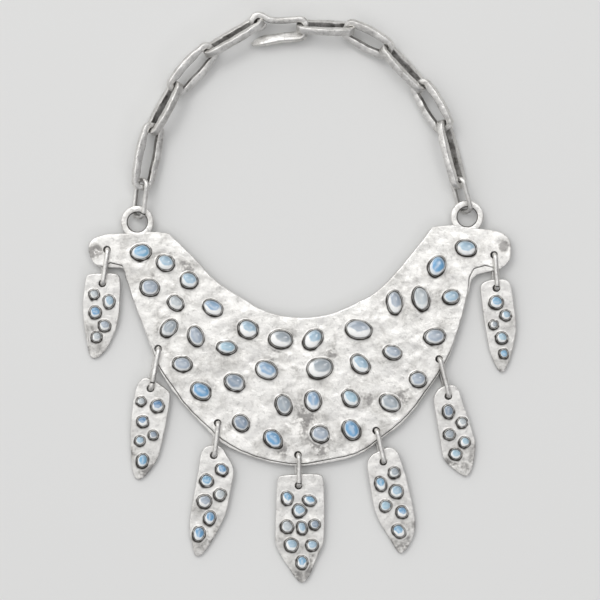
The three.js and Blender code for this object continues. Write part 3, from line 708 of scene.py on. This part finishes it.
# Section of a bezel: out from its wall, height, and how dark, with oxidation and painted shade
BEZEL = [
    (1.1, -0.03, 0.0), (0.74, 0.03, 0.26), (0.46, 0.06, 0.46), (0.22, 0.09, 0.78), (0.05, 0.14, 1.0),
    (-0.01, 0.4, 0.95), (-0.05, 0.85, 0.75), (-0.12, 1.0, 0.5), (-0.22, 1.06, 0.36), (-0.34, 1.0, 0.6),
    (-0.45, 0.85, 0.95), (-0.52, 0.3, 1.0), (-0.52, -0.15, 1.0), (1.1, -0.15, 0.0),
]


def uneven(angle, seed):
    """How far a collar bent by hand leaves its oval."""
    around = Vector((math.cos(angle), math.sin(angle), seed * 3.7))
    return noise.noise(around * 0.9) * 0.34 + noise.noise(around * 2.6) * 0.12


def add_bezel(bm, centre, half, turn, rise, base, light, seed, segments=44):
    """A collar soldered round a stone, dark with oxidation and painted shade at its foot and inside its lip,
    and darker on the side turned from the light.
    """
    oxide_and_shade = bm.verts.layers.float["oxide_and_shade"]
    away = 20.0
    profile = [(away + offset, height) for offset, height, _ in BEZEL]
    dark_tones = [dark_tone for _, _, dark_tone in BEZEL]
    cos, sin = math.cos(turn), math.sin(turn)

    def shape(vert, angle, radius, height):
        offset = radius - away
        row = min(range(len(BEZEL)), key=lambda i: abs(BEZEL[i][0] - offset) + abs(BEZEL[i][1] - height))
        around = Vector((math.cos(angle) * 1.3, math.sin(angle) * 1.3, seed * 3.7))
        # Painted shade: on the side turned from the light the dark foot reaches further out and is darker
        facing = Vector((math.cos(angle + turn), math.sin(angle + turn))).dot(light)
        out = offset * (1 - 0.4 * facing if offset > 0.1 else 1) + uneven(angle, seed)
        along = (half[0] + out) * math.cos(angle)
        aside = (half[1] + out) * math.sin(angle)
        x, y = centre.x + along * cos - aside * sin, centre.y + along * sin + aside * cos
        lift = height * rise * (1 + 0.12 * noise.noise(around * 1.7)) if height > 0.2 else height
        vert.co = (x, y, base(x, y) + lift)
        vert[oxide_and_shade] = min(dark_tones[row] * (0.92 - 0.26 * facing) + 0.3 * noise.noise(around * 1.6), 1)

    turned(bm, profile, segments, shape)


# Section of a stone: share of its radius, share of its height
CABOCHON = [
    (0.0, 0.0), (1.0, 0.0), (1.0, 0.32), (0.97, 0.47), (0.94, 0.545), (0.91, 0.6), (0.86, 0.68),
    (0.8, 0.745), (0.73, 0.8), (0.66, 0.85), (0.58, 0.89), (0.5, 0.92), (0.42, 0.948), (0.33, 0.97),
    (0.25, 0.984), (0.16, 0.993), (0.0, 1.0),
]


def add_cabochon(bm, centre, half, turn, bottom, top, hue, milky_sheen, light, seed):
    """A domed oval stone, clear at its rim, coloured inside, with a painted milky sheen low on the side
    turned from the light, a painted band of sheen across it, and painted shadow at its rim and on the side
    towards the light.
    """
    tint_sheen_shadow = bm.verts.layers.float_color["tint_sheen_shadow"]
    core = Vector(linear(HUES[hue]))
    rim = core.lerp(Vector((0.8, 0.82, 0.81)), 0.8)
    white = Vector((1.0, 1.0, 0.98))
    cos, sin = math.cos(turn), math.sin(turn)
    veer = 0.9 * noise.noise(Vector((seed * 1.7, 3, 1)))
    low = Matrix.Rotation(veer, 2) @ -light
    # Painted sheen: how strong a band of light across the stone is, by colour
    sheen_streak = 0.36 if hue in ("sky", "blue", "periwinkle", "deep") else 0.2
    bend = 0.3 * noise.noise(Vector((seed * 2.9, 6, 2)))

    def shape(vert, angle, radius, height):
        out = 0.9 * uneven(angle, seed) * radius
        along = (half[0] * radius + out) * math.cos(angle)
        aside = (half[1] * radius + out) * math.sin(angle)
        x, y = along * cos - aside * sin, along * sin + aside * cos
        vert.co = (centre.x + x, centre.y + y, bottom + (top - bottom) * height)
        flat = radius * Vector((math.cos(angle + turn), math.sin(angle + turn)))
        wobble = 0.13 * noise.noise(Vector((flat.x * 2.4, flat.y * 2.4, seed * 5.3)))
        low_side = flat.dot(low) + wobble
        away = (flat + low * (0.22 + 0.24 * milky_sheen)).length + wobble
        reach = 0.92 - 0.3 * milky_sheen
        # Painted sheen: white light gathered low on the side turned from the light, wider on milkier stones
        glow = (0.5 + 0.6 * milky_sheen) * smoothstep(reach - 0.08, reach + 0.18, away)
        glow *= smoothstep(-0.45, 0.15, low_side)
        band = radius * math.sin(angle) + bend + 1.6 * wobble
        glow = max(glow, sheen_streak * math.exp(-((band / 0.25) ** 2)) * smoothstep(0.8, 0.3, radius))
        # Painted light: the coloured body is lighter on the side turned from the light
        body = core * (0.8 + 0.28 * smoothstep(-0.75, 0.55, low_side))
        # The clear rim is paler, and painted brighter on the side turned from the light
        ring = smoothstep(0.76, 0.85, radius + 0.5 * wobble) * (0.45 + 0.4 * smoothstep(-0.6, 0.4, low_side))
        colour = body.lerp(rim, ring).lerp(white, min(glow, 1))
        shadow = 1 - 0.62 * smoothstep(0.9, 1.0, radius) - 0.22 * smoothstep(0.4, 0.98, -low_side)
        vert[tint_sheen_shadow] = (*(colour * shadow), 1)

    turned(bm, CABOCHON, 40, shape)


def add_sweep(bm, line, sides, section, closed=True):
    """Bends a tube along a flat line; section(share, angle) gives outwards, upwards and darkness from
    oxidation and painted shade.
    """
    oxide_and_shade = bm.verts.layers.float["oxide_and_shade"]
    count = len(line)
    before = set(bm.verts)
    ring = bmesh.ops.create_circle(bm, cap_ends=False, radius=1, segments=sides)["verts"]
    bmesh.ops.rotate(bm, cent=(0, 0, 0), matrix=Matrix.Rotation(math.pi / 2, 3, "X"), verts=ring)
    bmesh.ops.translate(bm, vec=(3, 0, 0), verts=ring)
    edges = list({edge for vert in ring for edge in vert.link_edges})
    sweep = 2 * math.pi if closed else 1.6 * math.pi
    steps = count if closed else count - 1
    bmesh.ops.spin(
        bm, geom=ring + edges, cent=(0, 0, 0), axis=(0, 0, 1), angle=sweep, steps=steps, use_merge=closed,
    )
    made = [vert for vert in bm.verts if vert not in before]
    for vert in made:
        x, y, z = vert.co
        share = (math.atan2(y, x) % (2 * math.pi)) / sweep
        share = 0 if share * steps > steps + 0.5 else share
        station = round(share * steps)
        if closed:
            station %= count
            ahead = line[(station + 1) % count] - line[station - 1]
        else:
            station = min(station, count - 1)
            ahead = line[min(station + 1, count - 1)] - line[max(station - 1, 0)]
        side = Vector((ahead.y, -ahead.x)).normalized()
        outwards, upwards, dark_tone = section(station / count, math.atan2(z, math.hypot(x, y) - 3))
        here = line[station]
        vert.co = (here.x + side.x * outwards, here.y + side.y * outwards, upwards)
        vert[oxide_and_shade] = dark_tone
    if not closed:
        loose = [edge for vert in made for edge in vert.link_edges if edge.is_boundary]
        bmesh.ops.holes_fill(bm, edges=list(set(loose)), sides=sides)
    return made


def squared(angle, half_width, half_height, power):
    """A point of an oval section, which a smaller power makes more square."""
    c, s = math.cos(angle), math.sin(angle)
    return (
        half_width * math.copysign(abs(c) ** power, c),
        half_height * math.copysign(abs(s) ** power, s),
    )


def rounded_line(length, width, radius, bow, step=0.6):
    """The middle line of a ring or link, anticlockwise: four bends and sides that may bow out."""
    line = []
    for corner in range(4):
        ahead = 1 if corner in (0, 3) else -1
        left = 1 if corner < 2 else -1
        for i in range(9):
            angle = (corner + i / 8) * math.pi / 2
            centre = Vector((ahead * (length / 2 - radius), left * (width / 2 - radius)))
            line.append(centre + radius * Vector((math.cos(angle), math.sin(angle))))
        run = length / 2 - radius if ahead == left else width / 2 - radius
        pieces = max(int(2 * run / step), 1)
        for i in range(1, pieces):
            along = 1 - 2 * i / pieces
            if ahead == left:
                line.append(Vector((ahead * along * run, left * (width / 2 + bow * (1 - along * along)))))
            else:
                line.append(Vector((ahead * length / 2, left * along * run)))
    return line


def frame_between(start, end, tilt):
    """A frame whose x axis runs between two points and whose y axis is tilted up from level."""
    along = (end - start).normalized()
    level = Vector((0, 0, 1)).cross(along).normalized()
    raised = along.cross(level)
    side = level * math.cos(math.radians(tilt)) + raised * math.sin(math.radians(tilt))
    matrix = Matrix((along, side, along.cross(side))).transposed().to_4x4()
    matrix.translation = (start + end) / 2
    return matrix


# Bib

BIB_EDGE = [NECKLINE, RIGHT_ARM, RIGHT_SHELF, OUTER_EDGE, LEFT_SHELF, LEFT_ARM]
holes = [on_bib(drop["across"], drop["up"]) for drop in DROPS]
patches = [(from_photo(px, py), radius * PIXEL, 1.3 * amount) for px, py, radius, amount in PATCHES]
# Painted shade: the sheet is darkened round each stone's bezel, a little off centre
for number, row in enumerate(BIB_STONES):
    drift = Vector((noise.noise(Vector((number, 1, 2))), noise.noise(Vector((number, 5, 2)))))
    shaded_spot = on_bib(*row[:2]) + drift * 3
    patches.append((shaded_spot, 6.4, -0.3 - 0.25 * noise.noise(Vector((number * 1.3, 8, 1)))))

bm = new_mesh()
back_line, front_line = spaced(bib_line(0), bib_line(1), 0.8)
shown = [(front - back).length for front, back in zip(front_line, back_line)]
# Painted shade: the back sheet's edge is darker low down
back_rim = [
    (0.4, BIB_BACK, 0.2), (0.1, BIB_BACK + 0.03, 0.5), (0, BIB_BACK + 0.25, 0.6), (0, BIB_SEAM - 0.28, 0.15),
    (0.1, BIB_SEAM - 0.08, 0.0), (0.3, BIB_SEAM - 0.01, 0.0),
]
rows = [(inward(back_line, inset), height, dark_tone) for inset, height, dark_tone in back_rim]
# Painted shadow: a dark line on the back sheet just under the front sheet's edge
for near, reach, dark_tone in ((0.35, 0.75, 0.15), (0.4, 0.6, 0.95), (0.5, 0.2, 1.0)):
    insets = [near - min(gap, reach) for gap in shown]
    rows.append((inward(front_line, insets), BIB_SEAM - SEAM_DROP, dark_tone))
lower, upper = add_wall(bm, rows)
for centre in holes:
    # Painted shade: the walls of the holes are dark
    wall = [(circle_points(centre, HOLE_RADIUS), height, 1) for height in (BIB_BACK, BIB_SEAM - SEAM_DROP)]
    below, above = add_wall(bm, wall)
    lower, upper = lower + below, upper + above
for edges in (lower, upper):
    bmesh.ops.triangle_fill(bm, use_beauty=True, use_dissolve=False, edges=edges)
add_piece("bib_back_sheet", bm, SHEET, ["bib"], 50)

bm = new_mesh()
sheet_metal(bm, front_line, BIB_SEAM, BIB_FRONT, holes, CELL)
dent(bm, BIB_FRONT, FRONT_SHEET, BIB_RELIEF, patches)
add_piece("bib_front_sheet", bm, SHEET, ["bib"], 55)

bm = new_mesh()
for number, (across, up, long, wide, turn, _, _) in enumerate(BIB_STONES):
    half = (BEZEL_LENGTH / 2 * long - FOOT, BEZEL_WIDTH / 2 * wide - FOOT)
    add_bezel(
        bm, on_bib(across, up), half, math.radians(turn), BEZEL_RISE,
        lambda x, y: BIB_FRONT + dented(x, y, BIB_RELIEF), BIB_LIGHT, number,
    )
add_piece("bib_bezels", bm, SHEET, ["bib"])

for number, (across, up, long, wide, turn, hue, milky_sheen) in enumerate(BIB_STONES, 1):
    bm = new_mesh()
    half = (BEZEL_LENGTH / 2 * long - FOOT - LIP, BEZEL_WIDTH / 2 * wide - FOOT - LIP)
    centre = on_bib(across, up)
    add_cabochon(
        bm, centre, half, math.radians(turn), BIB_FRONT + CLEARANCE, BIB_FRONT + STONE_RISE, hue, milky_sheen,
        BIB_LIGHT, number,
    )
    add_piece(f"moonstone_{number:02d}", bm, STONE, [f"stone_{number:02d}"])


def loop_centre(name):
    across, rise = LOOPS[name]
    return Vector((across * BIB_SPAN, BIB_DEPTH + rise * LOOP_RADIUS, RING_LEVEL))


def band_section(share, angle):
    outwards, upwards = squared(angle, LOOP_BAND / 2, 0.77, 0.62)
    wander = 0.1 * noise.noise(Vector((math.cos(6.283 * share) * 2, math.sin(6.283 * share) * 2, 3)))
    # The loop's inner side is darkened with oxidation and painted shade
    return outwards + wander, upwards, 0.95 * smoothstep(-0.35, -0.9, math.cos(angle))


for side in LOOPS:
    bm = new_mesh()
    at = loop_centre(side)
    add_sweep(bm, circle_points(Vector((0, 0)), LOOP_RADIUS - LOOP_BAND / 2, 72), 20, band_section)
    bmesh.ops.translate(bm, vec=at, verts=bm.verts)
    add_piece(f"arm_loop_{side}", bm, WIRE, ["bib"])


# Drops and their rings


def downwards(turn):
    return Vector((math.sin(math.radians(turn)), -math.cos(math.radians(turn))))


def evenly(line, step):
    """A closed line with its points a step apart."""
    closed = line + line[:1]
    spread = [closed[0]]
    for stop in closed[1:]:
        while (stop - spread[-1]).length > step:
            spread.append(spread[-1] + (stop - spread[-1]).normalized() * step)
    return spread if (spread[-1] - spread[0]).length > step / 2 else spread[:-1]


def softened(line, passes):
    """A closed line with its corners worn round."""
    for _ in range(passes):
        line = [(line[i - 1] + 2 * line[i] + line[(i + 1) % len(line)]) / 4 for i in range(len(line))]
    return line


def wire_section(radius, joint, seed):
    """A round wire whose two ends meet in a fine dark line, its inner side darkened with oxidation and
    painted shade.
    """

    def section(share, angle):
        near = abs(share - joint) < 0.006
        drawn = 1 + 0.035 * noise.noise(Vector((share * 22, angle, seed)))
        size = radius * drawn * (0.9 if near else 1)
        # The joint is a dark line; the inner side is painted shade with oxidation
        dark_tone = 1.0 if near else 0.55 * smoothstep(-0.4, -0.95, math.cos(angle))
        return size * math.cos(angle), size * math.sin(angle), dark_tone

    return section


# Where round each jump ring its two ends meet, as a share of the way
RING_JOINTS = [0.93, 0.12, 0.9, 0.1, 0.55, 0.92, 0.08]

for number, drop in enumerate(DROPS):
    start = on_bib(drop["across"], drop["up"])
    end = start + downwards(drop["ring_turn"]) * drop["reach"]
    height = BIB_FRONT - BIB_BACK + 2 * RING_SLACK + RING_WIRE
    bm = new_mesh()
    line = rounded_line(drop["reach"], height, RING_CORNER, 0)
    add_sweep(bm, line, 16, wire_section(RING_SHOWN, RING_JOINTS[number], number))
    raised = Vector((0, 0, RING_LEVEL))
    matrix = frame_between(start.to_3d() + raised, end.to_3d() + raised, 90 - RING_LEAN)
    bmesh.ops.transform(bm, matrix=matrix, verts=bm.verts)
    add_piece(f"jump_ring_{drop['name']}", bm, WIRE, [f"ring_{drop['name']}"])

    pitch = math.asin(BIB_BACK / drop["length"])
    flat = downwards(drop["turn"])
    along = Vector((flat.x * math.cos(pitch), flat.y * math.cos(pitch), -math.sin(pitch)))
    aside = Vector((-flat.y, flat.x, 0))
    lie = Matrix((along, aside, along.cross(aside))).transposed().to_4x4()
    light = Vector((BIB_LIGHT.dot(flat), BIB_LIGHT.dot(aside.xy)))
    lie.translation = Vector((end.x, end.y, BIB_BACK))
    corners = [Vector((a * drop["length"], b * drop["width"])) for a, b in drop["edge"]]
    if sum(a.x * b.y - b.x * a.y for a, b in zip(corners, corners[1:] + corners[:1])) > 0:
        corners.reverse()
    closed = corners[-1:] + corners + corners[:2]
    edge = softened(evenly(spline(closed, 7)[7:-8], 0.6), 9)
    edge = [point + 0.12 * ragged_edge(point + Vector((number * 40, 0))) for point in edge]
    offset = number * 37.0  # each drop takes its relief from another place of the pattern

    def drop_face(x, y):
        return DROP_FACE + dented(x + offset, y, DROP_RELIEF)

    bm = new_mesh()
    sheet_metal(bm, edge, 0, DROP_FACE, [Vector((0, 0))], CELL * 0.8)
    shade = bm.verts.layers.float["shade"]
    for vert in bm.verts:
        share = smoothstep(0.3, DROP_SHEET, vert.co.z)
        vert.co.z += share * dented(vert.co.x + offset, vert.co.y, DROP_RELIEF)
        # Random cloudy tone, and painted shade that makes each drop darker towards its tip
        cloudy = noise.noise(Vector((vert.co.x / 9 + offset, vert.co.y / 9, 4)))
        vert[shade] = 0.5 * cloudy + 0.25 - 0.5 * smoothstep(0.25, 0.9, vert.co.x / drop["length"])
    for spot, (at, across, long, wide, turn, _) in enumerate(drop["stones"]):
        centre = Vector((at * drop["length"], across * drop["width"]))
        half = (DROP_BEZEL / 2 * long - FOOT / 2, DROP_BEZEL / 2 * wide - FOOT / 2)
        add_bezel(bm, centre, half, math.radians(turn + 90), 0.8, drop_face, light, number * 10 + spot, 36)
    bmesh.ops.transform(bm, matrix=lie, verts=bm.verts)
    add_piece(f"drop_plate_{drop['name']}", bm, PLATE, [f"drop_{drop['name']}"], 55)

    bm = new_mesh()
    for spot, (at, across, long, wide, turn, hue) in enumerate(drop["stones"]):
        centre = Vector((at * drop["length"], across * drop["width"]))
        half = (DROP_BEZEL / 2 * long - FOOT / 2 - LIP, DROP_BEZEL / 2 * wide - FOOT / 2 - LIP)
        # How milky each stone is, which sets its painted sheen
        milky_sheen = 0.4 + 0.6 * noise.noise(Vector((number * 3.1, spot * 2.3, 7)))
        add_cabochon(
            bm, centre, half, math.radians(turn + 90), DROP_SHEET, DROP_SHEET + DROP_STONE_RISE, hue,
            milky_sheen + 0.2, light, number * 10 + spot,
        )
    bmesh.ops.transform(bm, matrix=lie, verts=bm.verts)
    add_piece(f"drop_stones_{drop['name']}", bm, STONE, [f"drop_{drop['name']}"])


# Chain


def rest_height(tilt):
    angle = abs(math.radians(tilt))
    face = LINK_STRIP / 2 * math.sin(angle) + LINK_DEPTH / 4 * math.cos(angle)
    edge = LINK_DEPTH / 2 * math.cos(angle)
    return (LINK_WIDTH / 2 - LINK_STRIP / 2 + LINK_BOW) * math.sin(angle) + max(face, edge)


level = max(rest_height(tilt) for tilt in LEFT_TILTS + RIGHT_TILTS)
route = [Vector((across * BIB_SPAN, BIB_DEPTH + rise * CHAIN_RISE, level)) for across, rise in CHAIN_ROUTE]


def on_loop(name, towards):
    centre = loop_centre(name)
    pull = Vector((towards.x - centre.x, towards.y - centre.y, 0)).normalized()
    return centre + pull * (LOOP_RADIUS - LOOP_BAND)


joints = [on_loop("left", route[0]), *route, on_loop("right", route[-1])]


def strip_section(seed):
    """A hammered strip: broad rounded edges, flat sides, dark inside the link with oxidation and painted
    shade.
    """

    def section(share, angle):
        turn = 2 * math.pi * share
        spread = STRIP_SPREAD * smoothstep(0.9, 0.5, abs(math.cos(turn)))
        outwards, upwards = squared(angle, STRIP_SHOWN / 2 + spread, LINK_DEPTH / 2, 0.42)
        place = Vector((math.cos(turn) * 2.6, math.sin(turn) * 2.6, seed * 2.1))
        outwards = outwards * (1 + 0.14 * noise.noise(place)) - spread
        upwards *= 1 + 0.12 * noise.noise(place * 1.6 + Vector((3, 1, 0)))
        # Painted shade with oxidation on the wall that faces into the link
        dark_tone = 0.62 * smoothstep(-0.3, -0.85, math.cos(angle))
        dark_tone += 0.2 * noise.noise(place + Vector((0, 0, angle)))
        return outwards, upwards, min(max(dark_tone, 0), 1)

    return section


def add_link(name, start, end, gaps, tilt, size, section, nodes):
    width, strip, corner, bow = size
    run = (end - start).normalized()
    near, far = start - run * gaps[0] / 2, end + run * gaps[1] / 2
    bm = new_mesh()
    line = rounded_line((far - near).length + strip, width - strip, corner, bow)
    add_sweep(bm, line, 20, section)
    bmesh.ops.transform(bm, matrix=frame_between(near, far, tilt), verts=bm.verts)
    return add_piece(name, bm, STRIP if bow else WIRE, nodes)


END_RING = (END_RING_WIDTH, END_RING_WIRE, END_RING_CORNER, 0)
LINK = (LINK_WIDTH, STRIP_SHOWN, LINK_CORNER, LINK_BOW)
for side, ends, joint in (("left", (0, 1), 0.6), ("right", (-1, -2), 0.4)):
    add_link(
        f"chain_ring_{side}", joints[ends[0]], joints[ends[1]], (2 * JOINT_PLAY, JOINT_PLAY),
        -END_RING_TILT, END_RING, wire_section(END_RING_WIRE / 2, joint, 20), [f"end_ring_{side}"],
    )
for side, first_joint, tilts in (("left", 1, LEFT_TILTS), ("right", 6, RIGHT_TILTS)):
    for i, tilt in enumerate(tilts):
        gaps = (JOINT_PLAY if i == 0 else 0.06, JOINT_PLAY if i == len(tilts) - 1 else 0.06)
        add_link(
            f"chain_link_{side}_{i + 1}", joints[first_joint + i], joints[first_joint + i + 1], gaps, tilt,
            LINK, strip_section(first_joint + i), [f"chain_{side}"],
        )

hook_start, hook_end = joints[5], joints[6]
span = (hook_end - hook_start).length
hook_line = spline([Vector(((along - 0.5) * span, aside * span)) for along, aside in CLASP_LINE], 7)


def hook_section(share, angle):
    """The strip turns its broad side up along the hook's free leg and thins to its tip."""
    twist = math.radians(52) * smoothstep(0.68, 0.82, share)
    thin = 1 - 0.68 * smoothstep(0.91, 1.0, share) - 0.35 * smoothstep(0.2, 0.12, share)
    across, high = squared(angle, 1.35, 1.6 + 0.75 * smoothstep(0.66, 0.85, share), 0.45)
    across *= thin * (1 + 0.1 * noise.noise(Vector((share * 14, 0, 2))))
    high *= thin * (1 + 0.1 * noise.noise(Vector((share * 11, 5, 2))))
    # The inside of the hook's bend is darkened with oxidation and painted shade, fading out along the free
    # leg
    dark_tone = 0.7 * smoothstep(-0.3, -0.9, -math.cos(angle)) * (1 - smoothstep(0.66, 0.8, share))
    outwards = across * math.cos(twist) - high * math.sin(twist)
    upwards = across * math.sin(twist) + high * math.cos(twist)
    return outwards, upwards, dark_tone


bm = new_mesh()
add_sweep(bm, hook_line, 18, hook_section, closed=False)
bmesh.ops.transform(bm, matrix=frame_between(hook_start, hook_end, CLASP_TILT), verts=bm.verts)
add_piece("clasp", bm, STRIP, ["clasp_hook"])


# Studio

floor_mesh = bmesh.new()
bmesh.ops.create_grid(floor_mesh, x_segments=1, y_segments=1, size=3)
bmesh.ops.translate(floor_mesh, vec=(0, 0, -0.00005), verts=floor_mesh.verts)
mesh = bpy.data.meshes.new("floor")
floor_mesh.to_mesh(mesh)
floor_mesh.free()
floor = bpy.data.objects.new("floor", mesh)
bpy.context.scene.collection.objects.link(floor)
paper = bpy.data.materials.new("floor_paper")
paper.use_nodes = True
paper.node_tree.nodes["Principled BSDF"].inputs["Base Color"].default_value = (0.74, 0.74, 0.73, 1)
paper.node_tree.nodes["Principled BSDF"].inputs["Roughness"].default_value = 0.9
mesh.materials.append(paper)

world = bpy.data.worlds.new("studio")
world.use_nodes = True
# A pale room that is brightest over the upper left and darker low on the right
sky = world.node_tree
direction = node(sky, "ShaderNodeTexCoord").outputs["Generated"]
lean = node(sky, "ShaderNodeVectorMath", {0: direction, 1: (-0.45, 0.5, 0.74)}, operation="DOT_PRODUCT")
half_way = maths(sky, "MULTIPLY", lean.outputs["Value"], 0.5)
room = ramp(sky, maths(sky, "ADD", half_way, 0.5), [
    (0.35, (0.2, 0.2, 0.21)), (0.66, (0.42, 0.42, 0.43)), (0.86, (0.8, 0.8, 0.8)), (0.99, (1.0, 1.0, 1.0)),
])
sky.links.new(room, sky.nodes["Background"].inputs["Color"])
sky.nodes["Background"].inputs["Strength"].default_value = 1.16
bpy.context.scene.world = world


def softbox(name, place, size, watts, aim=(0, 0, 0)):
    light = bpy.data.lights.new(name, "AREA")
    light.shape = "RECTANGLE"
    light.size, light.size_y = size
    light.energy = watts
    obj = bpy.data.objects.new(name, light)
    obj.location = place
    obj.rotation_euler = (Vector(aim) - Vector(place)).to_track_quat("-Z", "Y").to_euler()
    bpy.context.scene.collection.objects.link(obj)


softbox("key", (-0.5, 0.75, 1.2), (0.8, 0.5), 4.2)
softbox("top", (0.5, 0.35, 1.5), (0.3, 0.5), 1.6)
softbox("fill", (0.7, -0.9, 0.9), (0.5, 0.3), 1.2)

camera_data = bpy.data.cameras.new("camera")
camera_data.sensor_width = 36
camera_data.lens = 160
camera = bpy.data.objects.new("camera", camera_data)
centre = from_photo(300, 300) * MM
view_height = 600 * PIXEL * MM * camera_data.lens / camera_data.sensor_width
camera.location = (centre.x + SHIFT.x, centre.y + SHIFT.y, view_height + RING_LEVEL * MM)
bpy.context.scene.collection.objects.link(camera)
bpy.context.scene.camera = camera
bpy.context.scene.view_settings.view_transform = "Standard"

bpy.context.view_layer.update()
